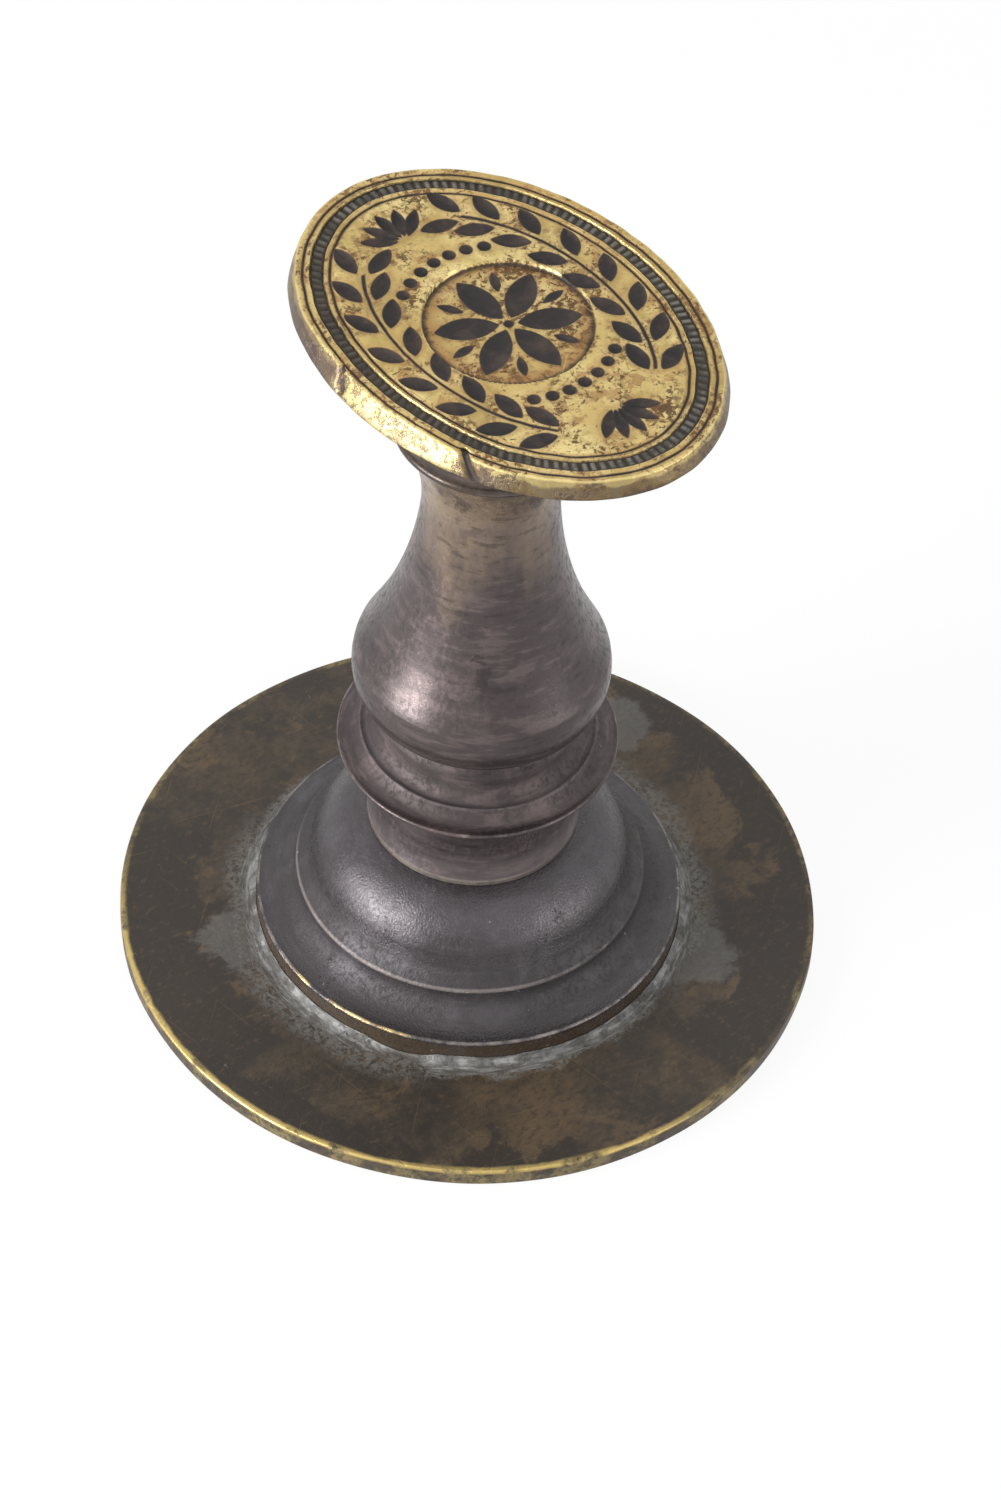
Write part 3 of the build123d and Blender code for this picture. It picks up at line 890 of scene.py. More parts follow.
class Nodes:
    """Adds nodes to a tree and links what they are given."""

    def __init__(self, tree):
        self.tree = tree

    def add(self, kind, inputs=None, **settings):
        node = self.tree.nodes.new(kind)
        for name, value in settings.items():
            setattr(node, name, value)
        for key, value in (inputs or {}).items():
            if isinstance(value, bpy.types.NodeSocket):
                self.tree.links.new(value, node.inputs[key])
            else:
                node.inputs[key].default_value = value
        return node

    def group(self, group, inputs):
        return self.add("ShaderNodeGroup", inputs, node_tree=group).outputs

    def maths(self, operation, first, second):
        return self.add("ShaderNodeMath", {0: first, 1: second}, operation=operation).outputs[0]

    def plus(self, first, second):
        return self.maths("ADD", first, second)

    def minus(self, first, second):
        return self.maths("SUBTRACT", first, second)

    def times(self, first, second):
        return self.maths("MULTIPLY", first, second)

    def most(self, first, *others):
        for other in others:
            first = self.maths("MAXIMUM", first, other)
        return first

    def vector(self, operation, first, second=(0.0, 0.0, 0.0)):
        key = "Scale" if operation == "SCALE" else 1
        outputs = self.add("ShaderNodeVectorMath", {0: first, key: second}, operation=operation).outputs
        single = operation in ("LENGTH", "DISTANCE", "DOT_PRODUCT")
        return outputs["Value"] if single else outputs["Vector"]

    def stretch(self, position, x, y, z):
        return self.vector("MULTIPLY", position, (x, y, z))

    def split(self, position):
        return self.add("ShaderNodeSeparateXYZ", {0: position}).outputs

    def noise(self, position, scale, detail=3.0, roughness=0.55, distortion=0.0):
        inputs = {"Vector": position, "Scale": scale, "Detail": detail, "Roughness": roughness}
        return self.add("ShaderNodeTexNoise", {**inputs, "Distortion": distortion}).outputs[0]

    def between(self, value, start, end):
        inputs = {"Value": value, "From Min": start, "From Max": end}
        return self.add("ShaderNodeMapRange", inputs, interpolation_type="SMOOTHSTEP").outputs[0]

    def scaled(self, value, low, high):
        return self.add("ShaderNodeMapRange", {"Value": value, "To Min": low, "To Max": high}).outputs[0]

    def mix(self, factor, first, second):
        first, second = (c if isinstance(c, bpy.types.NodeSocket) else (*c, 1.0) for c in (first, second))
        return self.add("ShaderNodeMix", {0: factor, 6: first, 7: second}, data_type="RGBA").outputs[2]

    def lay(self, base, over, mask, amount=1.0):
        """Lays a colour over another where the mask is."""
        return self.mix(mask if amount == 1.0 else self.times(mask, amount), base, over)

    def sway(self, clouds, reach):
        """Turns clouds from 0 to 1 into a push to either side, by half of the reach at most."""
        return self.times(self.minus(clouds, 0.5), reach)

    def attribute(self, name):
        return self.add("ShaderNodeAttribute", attribute_name=name).outputs["Fac"]

    def place(self):
        return self.add("ShaderNodeTexCoord").outputs["Object"]

    def radius(self, place):
        return self.vector("LENGTH", self.stretch(place, 1.0, 1.0, 0.0))

    def side(self, place, degrees, spread):
        """1 on the side that lies at an angle round the axis, and 0 beyond the spread."""
        way = self.vector("NORMALIZE", self.stretch(place, 1.0, 1.0, 0.0))
        angle = math.radians(degrees)
        near = self.vector("DOT_PRODUCT", way, (math.cos(angle), math.sin(angle), 0.0))
        return self.between(near, math.cos(math.radians(spread)), math.cos(math.radians(spread * full_side)))

    def lit_rubbed_side(self, place):
        """Full on the side lit by the key lamp, where edges get rubbed metal and a painted highlight, and
        weak behind.
        """
        rubbed = self.side(place, lit_rub_side, lit_rub_spread)
        return self.plus(lit_rub_least, self.times(rubbed, 1 - lit_rub_least))

    def spot(self, place, centre, reach, ragged):
        """1 at a spot, and 0 beyond its ragged edge."""
        away = self.vector("DISTANCE", place, centre)
        return self.between(self.plus(away, ragged), reach, reach * full_spot)

    def bump(self, height, strength, distance):
        inputs = {"Height": height, "Strength": strength, "Distance": distance}
        return self.add("ShaderNodeBump", inputs).outputs[0]


def shared_group(name, inputs, outputs, build):
    """A shader node group with named sockets, made once and then found by its name."""
    known = bpy.data.node_groups.get(name)
    if known:
        return known
    group = bpy.data.node_groups.new(name, "ShaderNodeTree")
    for socket, kind in inputs.items():
        group.interface.new_socket(socket, in_out="INPUT", socket_type=kind)
    for socket in outputs:
        group.interface.new_socket(socket, in_out="OUTPUT", socket_type="NodeSocketFloat")
    nodes = Nodes(group)
    given = nodes.add("NodeGroupInput").outputs
    nodes.add("NodeGroupOutput", build(nodes, given))
    return group


def patina_group():
    """Clouds of tarnish at three scales."""
    def build(nodes, given):
        place = nodes.vector("SCALE", given["Position"], given["Scale"])
        return {
            "Broad": nodes.noise(place, 75.0, detail=3.0, roughness=0.55, distortion=0.4),
            "Blotch": nodes.noise(place, 260.0, detail=7.0, roughness=0.68, distortion=0.3),
            "Grain": nodes.noise(place, 2600.0, detail=4.0, roughness=0.65),
        }

    inputs = {"Position": "NodeSocketVector", "Scale": "NodeSocketFloat"}
    return shared_group("Patina Clouds", inputs, ("Broad", "Blotch", "Grain"), build)


def pits_group():
    """Ragged pits of many sizes that lie in clusters, and fewer flecks."""
    def build(nodes, given):
        place = nodes.vector("SCALE", given["Position"], given["Scale"])
        cluster = nodes.minus(nodes.noise(place, 0.12, detail=3.0, roughness=0.6), 0.5)
        ragged = nodes.noise(place, 1.0, detail=5.0, roughness=0.7, distortion=0.5)
        ragged = nodes.plus(ragged, nodes.times(cluster, 0.6))
        fleck = nodes.between(nodes.noise(given["Position"], 1500.0, detail=3.0, roughness=0.6), 0.69, 0.75)
        group_of_flecks = nodes.between(nodes.noise(given["Position"], 330.0, detail=2.0), 0.55, 0.62)
        return {
            "Pits": nodes.between(nodes.plus(ragged, given["Share"]), 0.66, 0.74),
            "Flecks": nodes.times(fleck, group_of_flecks),
        }

    inputs = {"Position": "NodeSocketVector", "Scale": "NodeSocketFloat", "Share": "NodeSocketFloat"}
    return shared_group("Pits and Flecks", inputs, ("Pits", "Flecks"), build)


def scratches_group():
    """Fine straight scratches in three directions."""
    def build(nodes, given):
        lines = []
        for turned in (0.35, 1.5, 2.5):
            inputs = {"Vector": given["Position"], "Angle": turned}
            place = nodes.add("ShaderNodeVectorRotate", inputs, rotation_type="Z_AXIS").outputs[0]
            long = nodes.stretch(place, 90.0, 3600.0, 400.0)
            lines.append(nodes.between(nodes.noise(long, 1.0, detail=2.0, roughness=0.5), 0.66, 0.74))
        return {"Scratches": nodes.most(*lines)}

    return shared_group("Scratches", {"Position": "NodeSocketVector"}, ("Scratches",), build)


def turning_group():
    """Lines that the turning tool leaves round the axis."""
    def build(nodes, given):
        along = nodes.plus(nodes.radius(given["Position"]), nodes.split(given["Position"])[2])
        way = nodes.vector("NORMALIZE", nodes.stretch(given["Position"], 1.0, 1.0, 0.0))
        fine = nodes.add("ShaderNodeCombineXYZ", {2: nodes.times(along, given["Lines"])}).outputs[0]
        place = nodes.vector("ADD", nodes.vector("SCALE", way, given["Breaks"]), fine)
        return {"Lines": nodes.noise(place, 1.0, detail=3.0, roughness=0.7)}

    inputs = {"Position": "NodeSocketVector", "Lines": "NodeSocketFloat", "Breaks": "NodeSocketFloat"}
    return shared_group("Turning Lines", inputs, ("Lines",), build)


def wear_group():
    """Bare metal on rubbed arrises, and grime in creases."""
    def build(nodes, given):
        breaks = nodes.noise(given["Position"], 420.0, detail=4.0, roughness=0.6)
        uneven = nodes.sway(breaks, 1.8)
        bend = nodes.times(given["Bend"], given["Rub"])
        return {
            "Worn": nodes.between(nodes.plus(uneven, bend), 0.55, 1.0),
            "Grime": nodes.between(nodes.minus(uneven, bend), 0.3, 0.8),
        }

    inputs = {"Bend": "NodeSocketFloat", "Position": "NodeSocketVector", "Rub": "NodeSocketFloat"}
    return shared_group("Edge Wear", inputs, ("Worn", "Grime"), build)


# Finishes

def new_material(name):
    """An empty material and its nodes."""
    material = bpy.data.materials.new(name)
    material.use_nodes = True
    material.node_tree.nodes.clear()
    return material, Nodes(material.node_tree)


def principled(nodes, inputs):
    """The material's shader and its output."""
    shader = nodes.add("ShaderNodeBsdfPrincipled", inputs)
    nodes.add("ShaderNodeOutputMaterial", {"Surface": shader.outputs[0]})


Skin = namedtuple("Skin", "rub grain brushed polish")


def bronze_coat(nodes, place, tones, skin, matte):
    """Dark patinated bronze with streaks, turning lines, pits and rubbed arrises, dull where it is matte."""
    clouds = nodes.group(patina_group(), {"Position": nodes.stretch(place, 1.0, 1.0, 0.45), "Scale": 1.0})
    pits = nodes.group(pits_group(), {"Position": place, "Scale": 2600.0, "Share": 0.0})
    lines = nodes.group(turning_group(), {"Position": place, "Lines": 1500.0, "Breaks": 2.0})["Lines"]
    wear = nodes.group(wear_group(), {"Bend": nodes.attribute("bend"), "Position": place, "Rub": skin.rub})
    base = nodes.mix(clouds["Broad"], tones["dark"], tones["middle"])
    base = nodes.lay(base, tones["dark"], nodes.between(clouds["Blotch"], 0.5, 0.72), 0.45)
    base = nodes.lay(base, tones["tint"], nodes.between(clouds["Blotch"], 0.48, 0.28), 0.35)
    base = nodes.lay(base, tones["tint"], nodes.between(lines, 0.5, 0.66), skin.brushed)
    base = nodes.lay(base, tones["grime"], nodes.between(lines, 0.47, 0.3), skin.brushed)
    base = nodes.lay(base, tones["grime"], pits["Pits"], 0.4)
    base = nodes.lay(base, tones["grime"], wear["Grime"], 0.3)
    base = nodes.lay(base, tones["bare"], wear["Worn"], 0.75)
    base = nodes.lay(base, tones["fleck"], pits["Flecks"], 0.9)
    dull = nodes.plus(nodes.times(pits["Flecks"], 0.3), nodes.times(matte, 0.3))
    dull = nodes.plus(dull, nodes.times(nodes.between(clouds["Grain"], 0.48, 0.6), 0.2))
    rough = nodes.plus(nodes.scaled(clouds["Blotch"], skin.polish, skin.polish + 0.18), dull)
    height = nodes.plus(nodes.times(lines, 0.25), nodes.noise(place, 5200.0, detail=3.0, roughness=0.65))
    height = nodes.minus(height, nodes.times(pits["Pits"], 0.5))
    return {"Base Color": base, "Roughness": rough, "Normal": nodes.bump(height, 0.6, skin.grain)}


def stem_finish(stem):
    """Chocolate bronze, rubbed brassy towards the neck's top on the side lit by the key lamp, which is
    partly painted light; with painted highlights on the drum's lip and the bead, painted light on the drum,
    painted shade under the cup, and grime with painted shade in the recess above the ring.
    """
    material, nodes = new_material("Stem Bronze")
    place = nodes.place()
    height = nodes.split(place)[2]
    levels = stem_levels(stem)
    # Rubbed brassy tone, partly painted light on the side lit by the key lamp
    rubbed = neck_rub_and_light(nodes, place, height)
    long_place = nodes.stretch(place, 1.0, 1.0, 0.6)
    smears = nodes.noise(long_place, 420.0, detail=6.0, roughness=0.7, distortion=0.8)
    middle = nodes.lay(stem.brown, stem.brassy, rubbed)
    middle = nodes.lay(middle, stem.dark, nodes.times(rubbed, nodes.between(smears, 0.5, 0.62)), 0.8)
    middle = nodes.lay(middle, stem.grime, neck_stain(nodes, place), 0.8)
    # Grime and painted shade in the recess between the ring and the belly, which is also made dull
    below_belly = nodes.between(height, levels.belly_foot + 1.35 * MM, levels.belly_foot - 0.65 * MM)
    above_ring = nodes.between(height, levels.ring_top - 0.1 * MM, levels.ring_top + 0.5 * MM)
    recess_grime_and_shade = nodes.times(below_belly, above_ring)
    middle = nodes.lay(middle, stem.grime, recess_grime_and_shade, 0.15)
    # Painted shade: the band under the cup's roll, which the oval die shades, is laid with the grime colour
    shade_under_die = nodes.between(height, cup_level - 2.2 * MM, cup_level - 1.5 * MM)
    # Painted light on the drum, which the ring shades, and a painted highlight on the bead's ridge, both
    # laid with the pale bloom colour
    drum = nodes.between(height, levels.ring + 0.3 * MM, levels.ring - 0.7 * MM)
    from_bead = nodes.maths("ABSOLUTE", nodes.minus(height, levels.bead + 0.05 * MM), 0.0)
    ridge = nodes.between(from_bead, 0.25 * MM, 0.1 * MM)
    pale = nodes.most(nodes.times(drum, 0.45), nodes.times(ridge, 0.5))
    middle = nodes.lay(nodes.lay(middle, stem.grime, shade_under_die, 0.8), stem.bloom, pale)
    dark = nodes.lay(nodes.lay(stem.dark, stem.brassy, rubbed, 0.4), stem.grime, shade_under_die, 0.8)
    # A pale line on the drum's lip: rubbed metal, and a painted highlight on the side lit by the key lamp
    on_lip = nodes.between(height, foot_top + 0.7 * MM, foot_top + 0.5 * MM)
    lip = nodes.times(on_lip, nodes.lit_rubbed_side(place))
    tones = {
        "dark": nodes.lay(dark, stem.bare, lip, 0.5),
        "middle": nodes.lay(middle, stem.bare, lip, 0.8),
        "tint": stem.rosy,
        "grime": stem.grime,
        "bare": stem.bare,
        "fleck": stem.bare,
    }
    skin = Skin(rub=0.55, grain=0.02 * MM, brushed=0.5, polish=0.2)
    principled(nodes, {**bronze_coat(nodes, place, tones, skin, recess_grime_and_shade), "Metallic": 0.6})
    return material


def neck_rub_and_light(nodes, place, height):
    """Where hands rub the neck brassy, most towards its top, kept to the side lit by the key lamp, so that
    it is partly painted light.
    """
    rub_start = 45 * MM
    rub_full = 60 * MM
    streaks = nodes.noise(nodes.stretch(place, 1.0, 1.0, 0.3), 240.0, detail=5.0)
    risen = nodes.plus(height, nodes.sway(streaks, 30 * MM))
    return nodes.times(nodes.between(risen, rub_start, rub_full), nodes.side(place, 205.0, 105.0))


def neck_stain(nodes, place):
    """A dark, upright stain low on the neck's front."""
    stain_place = (-6.5 * MM, -6.0 * MM, 14.6 * MM)
    stain_reach = 1.3 * MM
    ragged = nodes.sway(nodes.noise(place, 700.0, detail=4.0), 3 * MM)
    return nodes.spot(nodes.stretch(place, 1.0, 1.0, 0.35), stain_place, stain_reach, ragged)


def foot_finish(foot):
    """Grey-violet bronze with a grainy skin, pale flecks and a golden stretch on its rim that is partly a
    painted highlight, with a painted highlight on the step's edge, painted light on the crown, and grime
    with painted shade on the flank.
    """
    material, nodes = new_material("Foot Bronze")
    place = nodes.place()
    height = nodes.split(place)[2]
    rim_top = plate_top + foot.rim_height
    dome_start = plate_top + foot.dome_height
    on_rim = nodes.between(nodes.radius(place), foot.radius - 0.6 * MM, foot.radius - 0.3 * MM)
    # Bare brass and a painted highlight on a stretch of the rim lit by the key lamp
    golden = nodes.times(nodes.side(place, 192.0, 24.0), on_rim)
    upright = nodes.times(on_rim, nodes.between(height, rim_top - 0.2 * MM, rim_top - 0.6 * MM))
    # Grime and painted shade on the flank below the dome, which is also made dull
    below_dome = nodes.between(height, dome_start, dome_start - 0.8 * MM)
    flank = nodes.times(below_dome, nodes.between(height, rim_top, rim_top + 0.6 * MM))
    # A pale line on the step's edge: rubbed metal, and a painted highlight on the side lit by the key lamp
    from_step = nodes.maths("ABSOLUTE", nodes.minus(height, plate_top + foot.step_height), 0.0)
    arris = nodes.times(nodes.between(from_step, 0.22 * MM, 0.08 * MM), nodes.lit_rubbed_side(place))
    # Painted light on the crown, which the handle shades, laid with the pale bloom colour
    crown = nodes.between(height, dome_start + 1.8 * MM, dome_start + 3.2 * MM)
    middle = nodes.lay(nodes.lay(foot.grey, foot.brown, upright), foot.grime, flank, 0.4)
    tones = {
        "dark": nodes.lay(nodes.lay(foot.dark, foot.brown, upright), foot.bare, arris, 0.4),
        "middle": nodes.lay(nodes.lay(middle, foot.pale, crown, 0.4), foot.bare, arris, 0.65),
        "tint": foot.pale,
        "grime": foot.grime,
        "bare": nodes.lay(foot.bare, foot.gold, golden),
        "fleck": foot.fleck,
    }
    skin = Skin(rub=0.75, grain=0.1 * MM, brushed=0.2, polish=0.12)
    principled(nodes, {**bronze_coat(nodes, place, tones, skin, flank), "Metallic": 0.6})
    return material


def shank_shadow_finish(stem):
    """Bronze painted nearly black as the shade under the oval die, dull and with little gloss."""
    material, nodes = new_material("Shank Painted Shadow")
    place = nodes.place()
    clouds = nodes.group(patina_group(), {"Position": place, "Scale": 1.0})
    # Painted shadow: the grime and dark patina colours stand for the shade under the oval die
    base = nodes.mix(nodes.between(clouds["Blotch"], 0.4, 0.65), stem.grime, stem.dark)
    normal = nodes.bump(clouds["Grain"], 0.5, 0.02 * MM)
    rough = nodes.scaled(clouds["Blotch"], 0.65, 0.85)
    principled(nodes, {"Base Color": base, "Roughness": rough, "Normal": normal, "Specular IOR Level": 0.1})
    return material


# Places on the plate, in millimetres: thin patina, films of solder, and dark zones from a radius outwards
PlateSpot = namedtuple("PlateSpot", "x y reach")
DarkZone = namedtuple("DarkZone", "angle spread start")
thin_spots = (PlateSpot(-13, -21, 6.5), PlateSpot(-27, 6, 4.5), PlateSpot(24, -7, 6.0))
solder_films = (PlateSpot(24.2, 6.9, 3.8), PlateSpot(-18.2, 10.4, 3.8), PlateSpot(10.5, -18.0, 4.2))
dark_zones = (
    DarkZone(-62.0, 24.0, 23),
    DarkZone(-12.0, 44.0, 25.5),
    DarkZone(152.0, 36.0, 22.5),
    DarkZone(212.0, 40.0, 28),
)
zone_fade = 1.2


def plate_finish(plate):
    """Old brass plate: mottled brown patina, scratches, solder stains near the foot, a bare rim that is
    partly a painted highlight.
    """
    material, nodes = new_material("Plate Brass")
    place = nodes.place()
    clouds = nodes.group(patina_group(), {"Position": place, "Scale": 1.0})
    pits = nodes.group(pits_group(), {"Position": place, "Scale": 1500.0, "Share": 0.03})
    scratches = nodes.group(scratches_group(), {"Position": place})["Scratches"]
    streaks = nodes.noise(nodes.stretch(place, 0.6, 1.0, 1.0), 1700.0, detail=6.0, roughness=0.75)
    ragged = nodes.sway(clouds["Blotch"], 14 * MM)
    base = plate_patina(nodes, place, clouds, ragged, plate)
    base = nodes.lay(base, plate.dark, nodes.between(streaks, 0.5, 0.62), 0.6)
    base = nodes.lay(base, plate.tan, nodes.between(streaks, 0.46, 0.34), 0.35)
    base = nodes.lay(base, plate.tan, scratches, 0.3)
    base = nodes.lay(base, plate.dark, pits["Pits"], 0.5)
    stain = solder_stain(nodes, place, clouds, ragged)
    base = nodes.lay(base, plate.smear, stain, 0.9)
    base = nodes.lay(base, plate.smear, pits["Flecks"], 0.5)
    edge = nodes.plus(nodes.radius(place), nodes.times(ragged, 0.06))
    edge = nodes.between(edge, plate.radius - 0.8 * MM, plate.radius - 0.4 * MM)
    bare = nodes.times(edge, bare_rim(nodes, place, clouds, ragged))
    olive = nodes.mix(nodes.between(clouds["Blotch"], 0.42, 0.58), plate.brown, plate.olive)
    base = nodes.lay(base, olive, edge, 0.9)
    base = nodes.lay(base, plate.dark, nodes.times(edge, nodes.between(streaks, 0.48, 0.58)), 0.7)
    # Bare brass on the rim, partly a painted highlight on the side lit by the key lamp
    base = nodes.lay(base, plate.brass, bare, 0.95)
    rough = nodes.minus(nodes.scaled(clouds["Blotch"], 0.4, 0.62), nodes.times(bare, 0.15))
    rough = nodes.plus(rough, nodes.times(stain, 0.12))
    metal = nodes.plus(0.3, nodes.times(bare, 0.65))
    height = nodes.minus(clouds["Grain"], nodes.times(nodes.plus(pits["Pits"], scratches), 0.6))
    height = nodes.plus(height, nodes.times(stain, 0.8))
    normal = nodes.bump(height, 0.5, 0.06 * MM)
    principled(nodes, {"Base Color": base, "Roughness": rough, "Metallic": metal, "Normal": normal})
    return material


def plate_spot(nodes, place, spot, ragged):
    """1 at a spot on the plate's top, and 0 beyond its ragged edge."""
    return nodes.spot(place, (spot.x * MM, spot.y * MM, plate_top), spot.reach * MM, ragged)


def plate_patina(nodes, place, clouds, ragged, plate):
    """Brown patina in clouds, thin in spots, and dark in zones towards the rim."""
    base = nodes.mix(nodes.between(clouds["Blotch"], 0.36, 0.6), plate.dark, plate.brown)
    base = nodes.lay(base, plate.tan, nodes.between(clouds["Broad"], 0.5, 0.66), 0.4)
    for spot in thin_spots:
        base = nodes.lay(base, plate.tan, plate_spot(nodes, place, spot, ragged), 0.5)
    patches = nodes.noise(place, 150.0, detail=7.0, roughness=0.62, distortion=0.4)
    base = nodes.lay(base, plate.dark, nodes.between(patches, 0.48, 0.58), 0.45)
    base = nodes.lay(base, plate.tan, nodes.between(patches, 0.44, 0.38), 0.5)
    frayed = nodes.plus(nodes.radius(place), nodes.sway(patches, 20 * MM))
    for zone in dark_zones:
        outer = nodes.between(frayed, zone.start * MM, (zone.start + zone_fade) * MM)
        side = nodes.between(nodes.side(place, zone.angle, zone.spread), 0.1, 0.5)
        base = nodes.lay(base, plate.dark, nodes.times(side, outer), 0.9)
    return base


def solder_stain(nodes, place, clouds, ragged):
    """Thin solder on the plate: a ring round the foot, wider on two sides, and some films."""
    frayed = nodes.plus(nodes.radius(place), nodes.times(ragged, 0.3))
    ring = nodes.between(frayed, 20.7 * MM, 19.8 * MM)
    wide = nodes.between(frayed, 22.6 * MM, 20.6 * MM)
    smeared = nodes.most(nodes.side(place, 165.0, 60.0), nodes.side(place, -20.0, 60.0))
    ring = nodes.most(ring, nodes.times(nodes.times(wide, smeared), 0.9))
    stain = nodes.times(ring, nodes.between(clouds["Grain"], 0.35, 0.6))
    for film in solder_films:
        patch = plate_spot(nodes, place, film, nodes.times(ragged, 0.5))
        stain = nodes.most(stain, nodes.times(patch, nodes.scaled(clouds["Grain"], 0.2, 0.9)))
    return stain


def bare_rim(nodes, place, clouds, ragged):
    """Where the rim is rubbed to bare brass, partly as a painted highlight: the upper part of its side, on
    the side that faces out and is lit by the key lamp.
    """
    risen = nodes.plus(nodes.split(place)[2], nodes.times(ragged, 0.04))
    upper = nodes.between(risen, plate_top - 0.4 * MM, plate_top - 0.1 * MM)
    golden = nodes.times(nodes.side(place, 202.0, 78.0), nodes.between(clouds["Blotch"], 0.6, 0.48))
    return nodes.times(upper, golden)


def solder_finish(solder):
    """Soft grey solder, scraped and smeared, with grime in its hollows and at its thin edge, and painted
    shadow at the joints under the oval die.
    """
    material, nodes = new_material("Grey Solder")
    place = nodes.place()
    clouds = nodes.group(patina_group(), {"Position": place, "Scale": 1.8})
    pits = nodes.group(pits_group(), {"Position": place, "Scale": 1800.0, "Share": 0.03})
    lines = nodes.group(turning_group(), {"Position": place, "Lines": 5200.0, "Breaks": 9.0})["Lines"]
    height = nodes.split(place)[2]
    base = nodes.mix(nodes.between(clouds["Blotch"], 0.34, 0.6), solder.dark, solder.grey)
    base = nodes.lay(base, solder.pale, nodes.between(lines, 0.5, 0.64), 0.8)
    base = nodes.lay(base, solder.dark, nodes.between(lines, 0.47, 0.36), 0.8)
    base = nodes.lay(base, solder.dark, pits["Pits"], 0.5)
    ragged = nodes.sway(clouds["Blotch"], 0.9 * MM)
    on_plate = nodes.between(nodes.plus(height, ragged), plate_top + 0.24 * MM, plate_top + 0.02 * MM)
    base = nodes.lay(base, solder.grime, on_plate, 0.4)
    # Painted shadow on the solder at the cup and under the oval die
    base = nodes.lay(base, solder.joint_shadow, nodes.between(height, foot_top, cup_level), 0.9)
    rough = nodes.scaled(clouds["Grain"], 0.5, 0.75)
    relief = nodes.plus(nodes.times(lines, 0.9), clouds["Grain"])
    relief = nodes.minus(relief, nodes.times(pits["Pits"], 0.8))
    normal = nodes.bump(relief, 0.7, 0.1 * MM)
    principled(nodes, {"Base Color": base, "Roughness": rough, "Metallic": 0.25, "Normal": normal})
    return material


def die_finish(die):
    """Engraved brass: rubbed golden lands with brown pits, dark cuts and a grey bead band."""
    material, nodes = new_material("Engraved Brass")
    place = nodes.place()
    clouds = nodes.group(patina_group(), {"Position": place, "Scale": 1.6})
    pits = nodes.group(pits_group(), {"Position": place, "Scale": 1900.0, "Share": 0.15})
    scratches = nodes.group(scratches_group(), {"Position": place})["Scratches"]
    wear = nodes.group(wear_group(), {"Bend": nodes.attribute("bend"), "Position": place, "Rub": 1.0})
    cut = nodes.attribute("cut")
    uneven = nodes.sway(clouds["Blotch"], 1.6)
    base = land_tone(nodes, clouds, pits, die)
    base = nodes.lay(base, die.red, nodes.between(nodes.plus(cut, uneven), 0.7, 0.05), 0.35)
    base, wall = field_tone(nodes, base, clouds, pits, uneven, die)
    base = nodes.lay(base, die.pale_gold, scratches, 0.3)
    base, in_band = band_tone(nodes, place, base, clouds, uneven, die)
    base = nodes.lay(base, die.pale_gold, nodes.times(wear["Worn"], nodes.minus(1.0, in_band)), 0.6)
    base = side_tone(nodes, place, base, clouds, pits, die)
    in_cut = nodes.between(nodes.plus(cut, nodes.times(uneven, 0.08)), 0.04, -0.08)
    cut_tone = nodes.mix(nodes.between(clouds["Blotch"], 0.42, 0.66), die.dark, die.violet)
    base = nodes.lay(base, cut_tone, in_cut)
    sunk = nodes.most(in_cut, in_band, wall)
    rough = nodes.plus(nodes.scaled(clouds["Blotch"], 0.3, 0.5), nodes.times(sunk, 0.2))
    metal = nodes.minus(0.85, nodes.times(sunk, 0.55))
    height = nodes.minus(clouds["Grain"], nodes.times(nodes.plus(pits["Pits"], scratches), 0.7))
    height = nodes.times(height, nodes.minus(1.0, nodes.times(sunk, 0.7)))
    normal = nodes.bump(height, 0.5, 0.05 * MM)
    principled(nodes, {"Base Color": base, "Roughness": rough, "Metallic": metal, "Normal": normal})
    return material


def field_tone(nodes, base, clouds, pits, uneven, die):
    """The round field, red and speckled towards its dark wall, and the mask of that wall."""
    field = nodes.attribute("field")
    in_field = nodes.between(field, 0.02, -0.06)
    near_wall = nodes.between(nodes.plus(field, uneven), -2.2, -0.4)
    base = nodes.lay(base, die.red, nodes.times(near_wall, in_field), 0.65)
    specks = nodes.most(pits["Pits"], nodes.between(clouds["Blotch"], 0.52, 0.62))
    base = nodes.lay(base, die.brown, nodes.times(specks, in_field), 0.55)
    wall = nodes.between(nodes.plus(field, nodes.times(uneven, 0.3)), -0.6, -0.1)
    wall = nodes.times(wall, in_field)
    return nodes.lay(base, die.dark, wall, 0.85), wall


def band_tone(nodes, place, base, clouds, uneven, die):
    """The dark band with its grey beads, duller at the left, and the mask of the band."""
    in_band = nodes.between(nodes.plus(nodes.attribute("band"), nodes.times(uneven, 0.12)), 0.04, -0.06)
    crown = nodes.between(nodes.plus(nodes.attribute("bead"), nodes.times(uneven, 0.08)), 0.02, -0.22)
    shown = nodes.minus(1.0, nodes.times(nodes.side(place, 170.0, 80.0), 0.7))
    grey = nodes.mix(nodes.between(clouds["Blotch"], 0.42, 0.6), die.band, die.bead)
    base = nodes.lay(base, die.dark, in_band, 0.95)
    return nodes.lay(base, grey, nodes.times(nodes.times(crown, in_band), shown)), in_band


